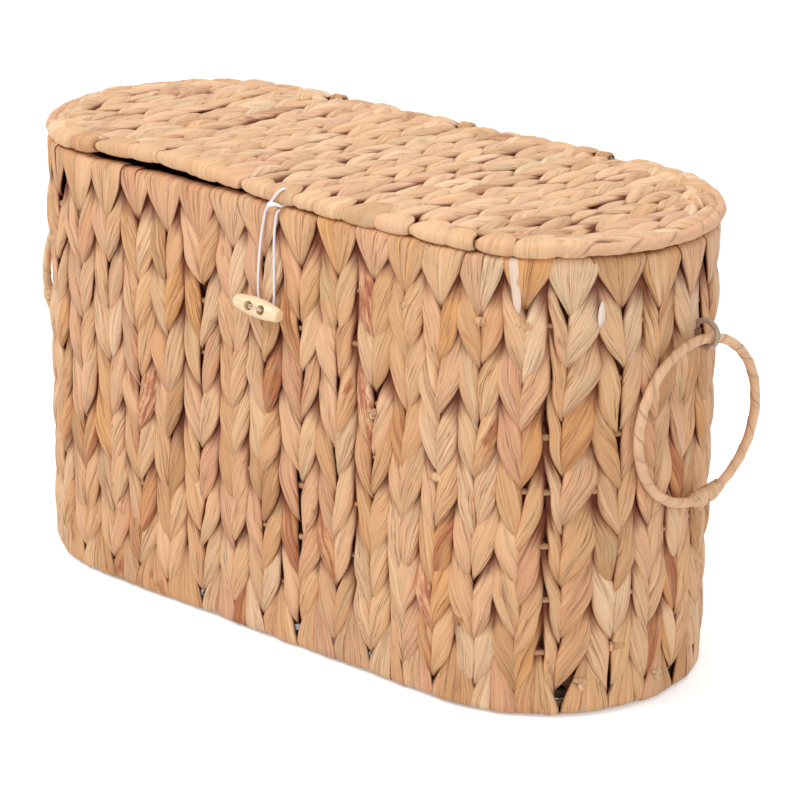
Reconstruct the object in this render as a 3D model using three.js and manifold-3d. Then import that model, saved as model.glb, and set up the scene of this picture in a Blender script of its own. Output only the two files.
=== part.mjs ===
// Lidded storage basket for toilet rolls: a woven racetrack body on a wire frame, a hinged woven lid,
// a toggle with an elastic loop at the front, and a hoop handle hung from a small ring at each end.
// Millimetres, +Z up, +X along the basket, the front faces -Y, the origin is under the middle of the base.

import * as THREE from "three";
import { mergeVertices } from "three/addons/utils/BufferGeometryUtils.js";
import Module from "manifold-3d";

// Body
const bodyLength = 464;
const bodyWidth = 196;
const bodyHeight = 270;
const skinThickness = 3;
const edgeChamfer = 2.6;
const lipWidth = 5;
const lipHeight = 4;
const gap = 0.3;
const overcut = 1;
const endSteps = 12;

// Braid columns of the wall: grooves where two columns meet, deeper at the valleys of the V shapes
const braidCount = 44;
const braidStart = 4;
const braidFlat = 0.7;
const braidTaper = 14;
const valleyGroove = { depth: 2.1, foot: 4, below: 26 };
const ridgeGroove = { depth: 1.3, foot: 28, below: 8 };

// Wire frame
const rimWire = 5;
const hoopWire = 2.5;
const uprightWire = 2.5;
const hoopCount = 7;
const uprightsPerSide = 4;
const wireSides = 6;

// Base
const baseThickness = 9;
const baseWire = 2.5;
const baseWireCount = 3;

// Lid
const lidThickness = 9.4;
const lidEdgeFlat = 0.4;
const lidOverhang = 1.6;
const lidRimWire = 4;
const lidWire = 2.5;
const lidWireCount = 6;
const lidEdgeSteps = 3;

// Hinge ties
const tieCount = 3;
const tiePitch = 105;
const tieWidth = 10;
const tieThickness = 2.4;
const tieSteps = 6;

// Toggle and its thread
const toggleX = 8.5;
const toggleAboveHoop = 10.2;
const toggleLength = 38;
const toggleDiameter = 12;
const toggleEndDiameter = 7.6;
const toggleTilt = THREE.MathUtils.degToRad(5);
const toggleSides = 12;
const toggleProfileSteps = 6;
const toggleHole = 4.6;
const toggleHolePitch = 10.4;
const toggleHoleSides = 10;
const toggleGroove = 1.9;
const threadDiameter = 1.2;
const threadSides = 8;
const threadKnot = 3.6;
const threadKnotLength = 2;

// Elastic loop
const elastic = 1.4;
const elasticSides = 8;
const elasticSpread = 11.6;
const elasticHoleX = 20;
const elasticHoleWeb = 0.8;
const elasticSplit = 4;
const turnSteps = 44;
const loopSteps = 40;

// Handles at the two ends
const ringDiameter = 18.6;
const ringWire = 3.2;
const ringAboveHoop = 16.4;
const rightRingY = 12.5;
const leftRingY = 7;
const ringSwing = THREE.MathUtils.degToRad(30);
const ringTieWire = 1;
const hoopDiameter = 102;
const hoopThickness = 6.2;
const rightHoopRest = { yaw: THREE.MathUtils.degToRad(-8), slide: -5, out: 1.55 };
const leftHoopRest = { yaw: 0, slide: 0, out: 0 };
const hoopSteps = 40;
const ringSteps = 24;
const torusSides = 8;
const ringTieSteps = 5;
const bindingLength = 24;
const bindingWall = 1.4;
const bindingSteps = 6;
const rightBindingTurn = THREE.MathUtils.degToRad(12);
const leftBindingTurn = THREE.MathUtils.degToRad(-62);

// Sizes that follow from the ones above
const endRadius = bodyWidth / 2;
const straight = bodyLength - bodyWidth;
const endArc = Math.PI * endRadius;
const perimeter = 2 * (straight + endArc);
const columnWidth = perimeter / braidCount / 2;
const slotWidth = Math.max(rimWire + 2 * gap, hoopWire + uprightWire + 3 * gap);
const wall = 2 * skinThickness + slotWidth;
const rimDepth = wall / 2;
const baseRimZ = skinThickness + gap + rimWire / 2;
const topRimZ = bodyHeight - baseRimZ;
const hoopDepth = skinThickness + gap + hoopWire / 2;
const hoopPitch = (topRimZ - baseRimZ) / (hoopCount + 1);
const upperHoopZ = topRimZ - 2 * hoopPitch;
const uprightDepth = wall - skinThickness - gap - uprightWire / 2;
const lidZ = bodyHeight + gap;
const lidMidZ = lidZ + lidThickness / 2;
const lidEndRadius = endRadius + lidOverhang;
const lidRimRadius = lidEndRadius - lidThickness / 2;
const hingeY = lidRimRadius;
const tieRadius = Math.max(rimWire, lidRimWire) / 2 + gap + tieThickness / 2;
const toggleZ = upperHoopZ + toggleAboveHoop;
const toggleStandOff = 2 * gap + elastic + toggleDiameter / 2;
const toggleY = -(endRadius + toggleStandOff);
const strandY = -(endRadius + gap + elastic / 2);
const ringHeight = upperHoopZ + ringAboveHoop;
const ringRadius = (ringDiameter - ringWire) / 2;

// Colours
const straw = { color: 0xd9b88c, roughness: 0.72, metalness: 0 };
const darkStraw = { color: 0xc9a276, roughness: 0.78, metalness: 0 };
const frameSteel = { color: 0xb9a078, roughness: 0.5, metalness: 0.6 };
const ringSteel = { color: 0x8f7a6c, roughness: 0.38, metalness: 0.85 };
const paleWood = { color: 0xeedfb4, roughness: 0.5, metalness: 0 };
const whiteElastic = { color: 0xf2eff4, roughness: 0.65, metalness: 0 };
const handleWrap = { color: 0xe3c79f, roughness: 0.6, metalness: 0 };

const wasm = await Module();
wasm.setup();

const basket = new THREE.Group();

function addPiece(name, geometry, finish, parent = basket) {
  const piece = new THREE.Mesh(geometry, new THREE.MeshStandardMaterial(finish));
  piece.name = name;
  parent.add(piece);
  return piece;
}

function toSolid(geometry) {
  const plain = geometry.clone();
  for (const name of Object.keys(plain.attributes)) {
    if (name !== "position") plain.deleteAttribute(name);
  }
  const merged = mergeVertices(plain, 1e-4);
  const vertProperties = Float32Array.from(merged.attributes.position.array);
  const triVerts = Uint32Array.from(merged.index.array);
  return new wasm.Manifold(new wasm.Mesh({ numProp: 3, vertProperties, triVerts }));
}

function toGeometry(solid) {
  const mesh = solid.getMesh();
  const geometry = new THREE.BufferGeometry();
  geometry.setAttribute("position", new THREE.BufferAttribute(Float32Array.from(mesh.vertProperties), 3));
  geometry.setIndex(new THREE.BufferAttribute(Uint32Array.from(mesh.triVerts), 1));
  geometry.computeVertexNormals();
  return geometry;
}

function join(...geometries) {
  return toGeometry(geometries.map(toSolid).reduce((whole, next) => whole.add(next)));
}

function cut(geometry, cutters) {
  return toGeometry(cutters.map(toSolid).reduce((left, next) => left.subtract(next), toSolid(geometry)));
}

// The racetrack at a given end radius, anticlockwise, with the same angles at every radius.
function racetrack(radius, length = straight, steps = endSteps) {
  const points = [];
  for (const side of [1, -1]) {
    for (let i = 0; i <= steps; i++) {
      const angle = -Math.PI / 2 + (Math.PI * i) / steps;
      const x = side * (length / 2 + radius * Math.cos(angle));
      points.push(new THREE.Vector2(x, side * radius * Math.sin(angle)));
    }
  }
  return points;
}

// Where a line along X at the given y leaves the racetrack, on its positive side.
function reach(points, y) {
  let far = 0;
  points.forEach((a, i) => {
    const b = points[(i + 1) % points.length];
    if ((a.y - y) * (b.y - y) <= 0 && a.y !== b.y) {
      far = Math.max(far, a.x + ((b.x - a.x) * (y - a.y)) / (b.y - a.y));
    }
  });
  return far;
}

// Places of a row of copies, centred on zero.
function spread(count, pitch) {
  return Array.from({ length: count }, (_, i) => (i - (count - 1) / 2) * pitch);
}

function roundSection(diameter, sides = wireSides, start = Math.PI / sides) {
  return Array.from({ length: sides }, (_, i) => {
    const angle = start + (2 * Math.PI * i) / sides;
    return [(diameter / 2) * Math.cos(angle), (diameter / 2) * Math.sin(angle)];
  });
}

// A hole that clears a round section with the same sides by the named gap on every face.
function clearSection(diameter, sides = wireSides) {
  return roundSection(diameter + (2 * gap) / Math.cos(Math.PI / sides), sides);
}

function boxSection(inner, outer, low, high) {
  return [[inner, low], [outer, low], [outer, high], [inner, high]];
}

// Carries a section of [outward, up] points round a closed flat track, with mitred corners.
function ringSolid(track, section) {
  const positions = [];
  const index = [];
  const count = track.length;
  const around = section.length;
  track.forEach((point, i) => {
    const before = track[(i + count - 1) % count].clone();
    const after = track[(i + 1) % count].clone();
    const arriving = point.clone().sub(before).normalize();
    const leaving = after.sub(point).normalize();
    const normal = new THREE.Vector2(arriving.y + leaving.y, -arriving.x - leaving.x).normalize();
    const miter = 1 / (normal.x * leaving.y - normal.y * leaving.x);
    for (const [outward, up] of section) {
      positions.push(point.x + normal.x * outward * miter, point.y + normal.y * outward * miter, up);
    }
    const next = (i + 1) % count;
    for (let j = 0; j < around; j++) {
      const k = (j + 1) % around;
      index.push(i * around + j, next * around + j, next * around + k);
      index.push(i * around + j, next * around + k, i * around + k);
    }
  });
  const geometry = new THREE.BufferGeometry();
  geometry.setAttribute("position", new THREE.Float32BufferAttribute(positions, 3));
  geometry.setIndex(index);
  geometry.computeVertexNormals();
  return geometry;
}

function plate(points, low, high) {
  const outline = new THREE.Shape(points);
  return new THREE.ExtrudeGeometry(outline, { depth: high - low, bevelEnabled: false }).translate(0, 0, low);
}

function block(x0, x1, y0, y1, z0, z1) {
  const geometry = new THREE.BoxGeometry(x1 - x0, y1 - y0, z1 - z0);
  return geometry.translate((x0 + x1) / 2, (y0 + y1) / 2, (z0 + z1) / 2);
}

function rod(diameter, length, sides = wireSides) {
  return new THREE.CylinderGeometry(diameter / 2, diameter / 2, length, sides);
}

function rodAlongX(diameter, x0, x1, sides = wireSides) {
  return rod(diameter, x1 - x0, sides).rotateZ(Math.PI / 2).translate((x0 + x1) / 2, 0, 0);
}

function rodAlongY(diameter, y0, y1, sides = wireSides) {
  return rod(diameter, y1 - y0, sides).translate(0, (y0 + y1) / 2, 0);
}

function rodAlongZ(diameter, z0, z1, sides = wireSides) {
  return rod(diameter, z1 - z0, sides).rotateX(Math.PI / 2).translate(0, 0, (z0 + z1) / 2);
}

function clearRod(diameter, sides = wireSides) {
  return diameter + (2 * gap) / Math.cos(Math.PI / sides);
}

// A round cord along hand-placed points, closed at both ends.
function cord(points, diameter, sides, steps) {
  const curve = new THREE.CatmullRomCurve3(points, false, "centripetal");
  const section = new THREE.Shape(roundSection(diameter, sides).map(([x, y]) => new THREE.Vector2(x, y)));
  return new THREE.ExtrudeGeometry(section, { steps, extrudePath: curve, bevelEnabled: false });
}

// Places the ends share: where the ring of each handle meets the wall
const innerTrack = racetrack(endRadius - wall);
const ends = [
  { name: "right", side: 1, ringY: rightRingY, rest: rightHoopRest, bindingTurn: rightBindingTurn },
  { name: "left", side: -1, ringY: leftRingY, rest: leftHoopRest, bindingTurn: leftBindingTurn },
];
for (const end of ends) {
  end.wallX = reach(racetrack(endRadius), end.ringY);
  end.uprightX = reach(racetrack(endRadius - uprightDepth), end.ringY);
  end.pivotX = end.wallX - skinThickness / 2 + gap;
  end.ringX = end.pivotX + ringRadius;
}
const windowWidth = ringWire + 2 * ringTieWire + 6 * gap;
const windowBelow = ringDiameter / 2;
const windowAbove = ringDiameter / 2 + ringRadius * Math.sin(ringSwing) + gap;

// Hinge ties: their places along the back
const tieXs = spread(tieCount, tiePitch);
const tieNotch = tieWidth / 2 + 2 * gap;
const tieReach = (tieRadius + tieThickness / 2) / Math.cos(Math.PI / 2 / tieSteps) + 2 * gap;
const hingeRise = lidMidZ - topRimZ;
const hingeRun = hingeY - (endRadius - rimDepth);
const tieLean = (hingeRun / hingeRise) * (lidThickness / 2);

// A point beside the racetrack wall: s runs round it from the front middle towards +X.
function wallPlace(s, out) {
  const half = straight / 2;
  const radius = endRadius + out;
  if (s < half) return new THREE.Vector2(s, -radius);
  if (s < half + endArc) {
    const angle = (s - half) / endRadius - Math.PI / 2;
    return new THREE.Vector2(half + radius * Math.cos(angle), radius * Math.sin(angle));
  }
  if (s < half + endArc + straight) return new THREE.Vector2(straight + endArc - s, radius);
  if (s < half + 2 * endArc + straight) {
    const angle = (s - half - endArc - straight) / endRadius + Math.PI / 2;
    return new THREE.Vector2(radius * Math.cos(angle) - half, radius * Math.sin(angle));
  }
  return new THREE.Vector2(s - perimeter, -radius);
}

// A V groove up the wall between two braid columns, which runs out to nothing at both ends.
function braidGroove(s, { depth, foot, below }) {
  const halfWidth = ((columnWidth - braidFlat) / 2) * (1 + overcut / depth);
  const corners = [wallPlace(s - halfWidth, overcut), wallPlace(s + halfWidth, overcut), wallPlace(s, -depth)];
  const end = wallPlace(s, overcut);
  const positions = [end.x, end.y, foot];
  for (const z of [foot + braidTaper, bodyHeight - below - braidTaper]) {
    for (const corner of corners) positions.push(corner.x, corner.y, z);
  }
  positions.push(end.x, end.y, bodyHeight - below);
  const geometry = new THREE.BufferGeometry();
  geometry.setAttribute("position", new THREE.Float32BufferAttribute(positions, 3));
  const index = [];
  for (let i = 0; i < corners.length; i++) {
    const j = (i + 1) % corners.length;
    const [a, b, c, d] = [1 + i, 1 + j, 4 + i, 4 + j];
    index.push(0, b, a, a, b, d, a, d, c, c, d, 7);
  }
  geometry.setIndex(index);
  return geometry;
}

function braidGrooves() {
  return Array.from({ length: braidCount }, (_, i) => {
    const valley = braidStart + 2 * i * columnWidth;
    return [braidGroove(valley, valleyGroove), braidGroove(valley + columnWidth, ridgeGroove)];
  }).flat();
}

// Woven body: one envelope with the true outer shape, and a slot for the wire frame inside the wall
function bodyWeave() {
  const section = [
    [-wall - lipWidth, 0],
    [-edgeChamfer, 0],
    [0, edgeChamfer],
    [0, bodyHeight - edgeChamfer],
    [-edgeChamfer, bodyHeight],
    [edgeChamfer - wall, bodyHeight],
    [-wall, bodyHeight - edgeChamfer],
    [-wall, lipHeight],
    [-wall - lipWidth, lipHeight],
  ];
  const shell = ringSolid(racetrack(endRadius), section);
  const [slotLow, slotHigh] = [skinThickness, bodyHeight - skinThickness];
  const slot = boxSection(-skinThickness - slotWidth, -skinThickness, slotLow, slotHigh);
  const cutters = [ringSolid(racetrack(endRadius), slot), ...braidGrooves()];
  for (const x of tieXs) {
    const [y0, y1] = [endRadius - wall - overcut, endRadius + overcut];
    cutters.push(block(x - tieNotch, x + tieNotch, y0, y1, topRimZ - tieReach, bodyHeight + overcut));
  }
  for (const end of ends) {
    const inner = end.side * (end.wallX - skinThickness - gap);
    const outer = end.side * (end.wallX + skinThickness);
    const [x0, x1] = [Math.min(inner, outer), Math.max(inner, outer)];
    const [y0, y1] = [end.ringY - windowWidth / 2, end.ringY + windowWidth / 2];
    cutters.push(block(x0, x1, y0, y1, ringHeight - windowBelow, ringHeight + windowAbove));
    const room = end.side * (end.wallX - wall - gap);
    const [b0, b1] = [Math.min(room, inner), Math.max(room, inner)];
    const tieHigh = ringTieWire / 2 + gap;
    cutters.push(block(b0, b1, y0, y1, ringHeight - tieHigh, ringHeight + tieHigh));
  }
  const [front, back] = [-endRadius - overcut, skinThickness - endRadius + overcut];
  const shank = rodAlongY(clearRod(threadDiameter, threadSides), front, back, threadSides);
  cutters.push(shank.translate(toggleX, 0, toggleZ));
  return cut(shell, cutters);
}
addPiece("body_weave", bodyWeave(), straw);

// Wire frame in the wall
const rimTrack = racetrack(endRadius - rimDepth);
const hoopTrack = racetrack(endRadius - hoopDepth);
addPiece("base_rim_wire", ringSolid(rimTrack, roundSection(rimWire)), frameSteel).position.z = baseRimZ;
addPiece("top_rim_wire", ringSolid(rimTrack, roundSection(rimWire)), frameSteel).position.z = topRimZ;
for (let i = 1; i <= hoopCount; i++) {
  const hoop = addPiece(`hoop_wire_${i}`, ringSolid(hoopTrack, roundSection(hoopWire)), frameSteel);
  hoop.position.z = baseRimZ + i * hoopPitch;
}

const uprightLow = baseRimZ + rimWire / 2 + gap;
const uprightHigh = topRimZ - rimWire / 2 - gap;
const uprightPlaces = [];
for (const side of [-1, 1]) {
  for (let i = 0; i < uprightsPerSide; i++) {
    const x = straight * (i / (uprightsPerSide - 1) - 0.5);
    uprightPlaces.push([x, side * (endRadius - uprightDepth)]);
  }
}
for (const end of ends) uprightPlaces.push([end.side * end.uprightX, end.ringY]);
uprightPlaces.forEach(([x, y], i) => {
  const wire = rodAlongZ(uprightWire, uprightLow, uprightHigh);
  addPiece(`upright_wire_${i + 1}`, wire, frameSteel).position.set(x, y, 0);
});

// Woven base: a panel that rests on the inner lip, with wires along it
const baseWireZ = (lipHeight + gap + baseThickness) / 2;
const baseWirePitch = (2 * (endRadius - wall)) / (baseWireCount + 1);
const baseWireYs = spread(baseWireCount, baseWirePitch);

function baseWeave() {
  const lower = plate(racetrack(endRadius - wall - lipWidth - gap), 0, baseWireZ);
  const upper = plate(racetrack(endRadius - wall - gap), lipHeight + gap, baseThickness);
  const channels = baseWireYs.map((y) => {
    const channel = rodAlongX(clearRod(baseWire), -bodyLength / 2, bodyLength / 2);
    return channel.translate(0, y, baseWireZ);
  });
  return cut(join(lower, upper), channels);
}
addPiece("base_weave", baseWeave(), darkStraw);
baseWireYs.forEach((y, i) => {
  const half = Math.min(reach(innerTrack, y - baseWire / 2), reach(innerTrack, y + baseWire / 2)) - gap;
  const wire = addPiece(`base_wire_${i + 1}`, rodAlongX(baseWire, -half, half), frameSteel);
  wire.position.set(0, y, baseWireZ);
});

// Woven lid with a rounded edge, a rim wire and wires along it
const elasticHoleY = -(lidRimRadius - lidRimWire / 2 - 2 * gap - elasticHoleWeb - elastic / 2);
const lidWirePitch = (2 * lidRimRadius) / (lidWireCount + 1);
const lidWireYs = spread(lidWireCount, lidWirePitch);

function lidWeave() {
  const edge = (lidThickness - lidEdgeFlat) / 2;
  const slab = new THREE.ExtrudeGeometry(new THREE.Shape(racetrack(lidEndRadius)), {
    depth: lidEdgeFlat,
    bevelEnabled: true,
    bevelThickness: edge,
    bevelSize: edge,
    bevelOffset: -edge,
    bevelSegments: lidEdgeSteps,
  }).translate(0, 0, lidZ + edge);
  const rimTrench = ringSolid(racetrack(lidRimRadius), clearSection(lidRimWire)).translate(0, 0, lidMidZ);
  const cutters = [rimTrench];
  for (const y of lidWireYs) {
    const half = reach(racetrack(lidRimRadius), y);
    cutters.push(rodAlongX(clearRod(lidWire), -half, half).translate(0, y, lidMidZ));
  }
  const [under, over] = [lidZ - overcut, lidZ + lidThickness + overcut];
  for (const x of tieXs) {
    const [y0, y1] = [hingeY - tieReach - tieLean, lidEndRadius + overcut];
    cutters.push(block(x - tieNotch, x + tieNotch, y0, y1, under, over));
  }
  const hole = rodAlongZ(clearRod(elastic, elasticSides), under, over, elasticSides);
  cutters.push(hole.translate(elasticHoleX, elasticHoleY, 0));
  const grooveHalf = elastic / 2 + gap;
  const grooveTop = lidZ + elastic + gap;
  const [x0, x1] = [elasticHoleX - grooveHalf, elasticHoleX + grooveHalf];
  cutters.push(block(x0, x1, -lidEndRadius - overcut, elasticHoleY, under, grooveTop));
  return cut(slab, cutters);
}
addPiece("lid_weave", lidWeave(), straw);
const lidRim = ringSolid(racetrack(lidRimRadius), roundSection(lidRimWire));
addPiece("lid_rim_wire", lidRim, frameSteel).position.z = lidMidZ;
lidWireYs.forEach((y, i) => {
  const rimInside = racetrack(lidRimRadius - lidRimWire / 2);
  const half = Math.min(reach(rimInside, y - lidWire / 2), reach(rimInside, y + lidWire / 2)) - gap;
  const wire = addPiece(`lid_wire_${i + 1}`, rodAlongX(lidWire, -half, half), frameSteel);
  wire.position.set(0, y, lidMidZ);
});

// Hinge ties: flat strands wound round the rim wire of the body and the rim wire of the lid
tieXs.forEach((x, i) => {
  const track = racetrack(tieRadius, Math.hypot(hingeRise, hingeRun), tieSteps);
  const section = boxSection(-tieThickness / 2, tieThickness / 2, -tieWidth / 2, tieWidth / 2);
  const tie = addPiece(`hinge_tie_${i + 1}`, ringSolid(track, section), darkStraw);
  const along = new THREE.Vector3(0, hingeRun, hingeRise).normalize();
  const out = new THREE.Vector3(1, 0, 0);
  const basis = new THREE.Matrix4().makeBasis(along, out.clone().cross(along), out);
  tie.setRotationFromMatrix(basis);
  tie.position.set(x, endRadius - rimDepth + hingeRun / 2, topRimZ + hingeRise / 2);
});

// Toggle: a turned barrel with two holes joined by a groove at the front and at the back
const toggleGroup = new THREE.Group();
toggleGroup.position.set(toggleX, toggleY, toggleZ);
toggleGroup.rotation.y = toggleTilt;
basket.add(toggleGroup);

function toggleBarrel() {
  const profile = [new THREE.Vector2(0, -toggleLength / 2)];
  for (let i = 0; i <= toggleProfileSteps; i++) {
    const t = (2 * i) / toggleProfileSteps - 1;
    const radius = (toggleDiameter - (toggleDiameter - toggleEndDiameter) * t * t) / 2;
    profile.push(new THREE.Vector2(radius, (toggleLength / 2) * t));
  }
  profile.push(new THREE.Vector2(0, toggleLength / 2));
  const barrel = new THREE.LatheGeometry(profile, toggleSides).rotateZ(Math.PI / 2);
  const half = toggleDiameter / 2;
  const [x, z] = [toggleHolePitch / 2, threadDiameter / 2 + gap];
  const cutters = [-x, x].map((holeX) => {
    return rodAlongY(toggleHole, -half - overcut, half + overcut, toggleHoleSides).translate(holeX, 0, 0);
  });
  cutters.push(block(-x, x, -half - overcut, toggleGroove - half, -z, z));
  cutters.push(block(-x, x, half - toggleGroove, half + overcut, -z, z));
  return cut(barrel, cutters);
}
addPiece("toggle", toggleBarrel(), paleWood, toggleGroup);

// Thread: a stitch through both holes, gathered into one shank that is knotted behind the outer skin
function toggleStitch() {
  const inset = toggleDiameter / 2 - toggleGroove + threadDiameter / 2 + gap / 2;
  const x = toggleHolePitch / 2;
  const corner = threadDiameter / 2;
  const loop = [
    [-x, corner - inset], [corner - x, -inset], [x - corner, -inset], [x, corner - inset],
    [x, inset - corner], [x - corner, inset], [corner - x, inset], [-x, inset - corner],
  ].map(([px, py]) => new THREE.Vector2(px, py));
  const skinBack = toggleStandOff + skinThickness;
  const shank = rodAlongY(threadDiameter, inset, skinBack + gap + threadKnotLength / 2, threadSides);
  const knot = rodAlongY(threadKnot, skinBack + gap, skinBack + gap + threadKnotLength, threadSides);
  return join(ringSolid(loop, roundSection(threadDiameter)), shank, knot);
}
addPiece("toggle_thread", toggleStitch(), whiteElastic, toggleGroup);

// Elastic: one turn held in the lid, over the rim and back below it, and the loop that hangs to the toggle
const elasticSplitZ = bodyHeight - elasticSplit;
const strandLeftX = toggleX - elasticSpread / 2;
const strandRightX = toggleX + elasticSpread / 2;
const overRimY = -(lidEndRadius + gap + elastic / 2);
const underLidZ = lidZ + elastic / 2 + gap / 2;
const overLidZ = lidZ + lidThickness + gap + elastic / 2;
const turnPoints = [
  [strandLeftX + 4, strandY, elasticSplitZ],
  [strandLeftX + 4.6, strandY - 0.3, bodyHeight - 2],
  [strandLeftX + 6, overRimY - 0.4, bodyHeight + 0.5],
  [strandLeftX + 7.5, overRimY - 0.3, lidMidZ - 1.5],
  [strandLeftX + 9.4, overRimY + 0.5, lidMidZ + 2.4],
  [strandLeftX + 12, -(lidEndRadius - 3.1), overLidZ - 0.3],
  [elasticHoleX - 0.8, elasticHoleY - 2, overLidZ + 0.1],
  [elasticHoleX, elasticHoleY, overLidZ - 0.9],
  [elasticHoleX, elasticHoleY, lidMidZ],
  [elasticHoleX, elasticHoleY, underLidZ + elastic * 1.2],
  [elasticHoleX, elasticHoleY - elastic * 0.6, underLidZ],
  [elasticHoleX, elasticHoleY - elastic * 3, underLidZ],
  [elasticHoleX, strandY, underLidZ - 0.1],
].map((point) => new THREE.Vector3(...point));
addPiece("elastic_lid_turn", cord(turnPoints, elastic, elasticSides, turnSteps), whiteElastic);

const bottomZ = toggleZ - threadDiameter / 2 - gap - elastic;
const loopPoints = [
  [strandLeftX + 4, strandY, elasticSplitZ - gap],
  [strandLeftX + 2, strandY, bodyHeight - 20],
  [strandLeftX - 0.4, strandY, toggleZ + 18],
  [strandLeftX, strandY, toggleZ + 3],
  [strandLeftX + elasticSpread / 4, strandY, bottomZ - 1],
  [toggleX, strandY, bottomZ - 2],
  [strandRightX - elasticSpread / 4, strandY, bottomZ - 1],
  [strandRightX, strandY, toggleZ + 3],
  [strandRightX + 0.4, strandY, toggleZ + 18],
  [strandRightX + 0.4, strandY, bodyHeight - 20],
  [strandRightX + 2.2, strandY, bodyHeight - 5],
  [elasticHoleX - 0.6, strandY - 0.5, bodyHeight - 0.9],
].map((point) => new THREE.Vector3(...point));
addPiece("elastic_loop", cord(loopPoints, elastic, elasticSides, loopSteps), whiteElastic);

// Handles: a ring tied to an upright in the wall, and a wrapped hoop hung in the ring
const ringInner = ringRadius - ringWire / 2;
const hoopRadius = (hoopDiameter - hoopThickness) / 2;
const hoopSlack = ringInner - gap - hoopThickness / 2;

function bindingSleeve() {
  const outer = roundSection(hoopThickness + 2 * (gap + bindingWall), torusSides, 0);
  const bore = roundSection(clearRod(hoopThickness, torusSides), torusSides, 0);
  const shape = new THREE.Shape(outer.map(([x, y]) => new THREE.Vector2(x, y)));
  shape.holes.push(new THREE.Path(bore.map(([x, y]) => new THREE.Vector2(x, y))));
  const half = bindingLength / hoopRadius / 2;
  const points = Array.from({ length: bindingSteps + 1 }, (_, i) => {
    const angle = half * ((2 * i) / bindingSteps - 1);
    return new THREE.Vector3(0, hoopRadius * Math.sin(angle), -hoopRadius * Math.cos(angle));
  });
  const arc = new THREE.CatmullRomCurve3(points);
  return new THREE.ExtrudeGeometry(shape, { steps: bindingSteps, extrudePath: arc, bevelEnabled: false });
}

for (const end of ends) {
  const handle = new THREE.Group();
  handle.position.set(end.side * end.ringX, end.ringY, 0);
  basket.add(handle);

  const ring = new THREE.TorusGeometry(ringRadius, ringWire / 2, torusSides, ringSteps).rotateX(Math.PI / 2);
  addPiece(`handle_ring_${end.name}`, ring, ringSteel, handle).position.z = ringHeight;

  const { yaw, slide, out } = end.rest;
  const hanging = new THREE.Group();
  const drop = new THREE.Vector3(0, slide, -Math.sqrt(hoopRadius ** 2 - slide ** 2));
  const held = new THREE.Vector3(end.side * out, 0, ringHeight - Math.sqrt(hoopSlack ** 2 - out ** 2));
  hanging.position.copy(drop.applyAxisAngle(new THREE.Vector3(0, 0, 1), yaw).add(held));
  hanging.rotation.z = yaw;
  handle.add(hanging);
  const hoop = new THREE.TorusGeometry(hoopRadius, hoopThickness / 2, torusSides, hoopSteps);
  addPiece(`handle_hoop_${end.name}`, hoop.rotateY(Math.PI / 2), handleWrap, hanging);
  const binding = addPiece(`handle_binding_${end.name}`, bindingSleeve(), handleWrap, hanging);
  binding.rotation.x = end.bindingTurn;

  const tieEndRadius = ringWire / 2 + gap + ringTieWire / 2;
  const slack = (ringWire / 2) * (1 / Math.cos(ringSwing) - 1) + (ringTieWire / 2) * Math.tan(ringSwing);
  const tieFront = end.pivotX + slack;
  const track = racetrack(tieEndRadius, tieFront - end.uprightX, ringTieSteps);
  const tie = addPiece(`handle_ring_tie_${end.name}`, ringSolid(track, roundSection(ringTieWire)), darkStraw);
  tie.position.set((end.side * (tieFront + end.uprightX)) / 2, end.ringY, ringHeight);
}

export default basket;
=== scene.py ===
"""Lidded storage basket for toilet rolls, woven from flat dried leaves over a wire frame.

Every strand is real geometry. A leaf is a closed, crowned strip laid on the wall, the rim or the lid. Leaves
of two neighbouring columns meet in a V at each hoop wire. Lengths are millimetres until a mesh is made.
"""

import math

import bpy
import numpy as np
from mathutils import Matrix, Vector


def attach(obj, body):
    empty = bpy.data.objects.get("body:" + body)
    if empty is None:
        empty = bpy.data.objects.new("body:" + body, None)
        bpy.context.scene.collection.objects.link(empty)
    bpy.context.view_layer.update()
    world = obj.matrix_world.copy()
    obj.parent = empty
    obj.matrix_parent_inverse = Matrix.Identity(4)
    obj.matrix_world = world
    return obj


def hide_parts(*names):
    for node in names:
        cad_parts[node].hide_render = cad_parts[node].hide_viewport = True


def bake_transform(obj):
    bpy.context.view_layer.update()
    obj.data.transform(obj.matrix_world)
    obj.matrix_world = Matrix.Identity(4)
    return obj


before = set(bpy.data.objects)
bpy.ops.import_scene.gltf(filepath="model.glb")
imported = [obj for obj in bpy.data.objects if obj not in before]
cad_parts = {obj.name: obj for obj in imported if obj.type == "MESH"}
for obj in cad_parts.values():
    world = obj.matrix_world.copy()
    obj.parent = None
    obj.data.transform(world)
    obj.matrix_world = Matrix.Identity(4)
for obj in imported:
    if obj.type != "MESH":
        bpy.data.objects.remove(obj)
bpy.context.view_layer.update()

MM = 0.001
SEED = 20261

# The part's driving sizes
BODY_RADIUS = 98.0
STRAIGHT = 268.0
BODY_HEIGHT = 270.0
WALL = 11.9
HOOP_COUNT = 7
BASE_RIM_Z = 5.8
TOP_RIM_Z = 264.2
LID_RIM = 94.9
LID_LOW = 270.3
LID_HIGH = 279.7
LID_WIRES = 6
HOOP_PITCH = (TOP_RIM_Z - BASE_RIM_Z) / (HOOP_COUNT + 1)
PERIMETER = 2 * STRAIGHT + 2 * math.pi * BODY_RADIUS

# Camera, fitted to the photograph's outline
CAMERA_TARGET = (0.0, 0.0, 0.135)
CAMERA_AZIMUTH = math.radians(40.5)
CAMERA_ELEVATION = math.radians(19.5)
CAMERA_ROLL = math.radians(0.5)
CAMERA_DISTANCE = 1.76688
FOCAL_PIXELS = 2893.0
CENTRE_PIXEL = (366.0, 381.6)
FRAME_PIXELS = 800.0
SENSOR = 36.0
CLIP_START = 0.05
CLIP_END = 60


def placed(name, data):
    """A new object of that data, in the scene."""
    thing = bpy.data.objects.new(name, data)
    bpy.context.scene.collection.objects.link(thing)
    return thing


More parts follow.
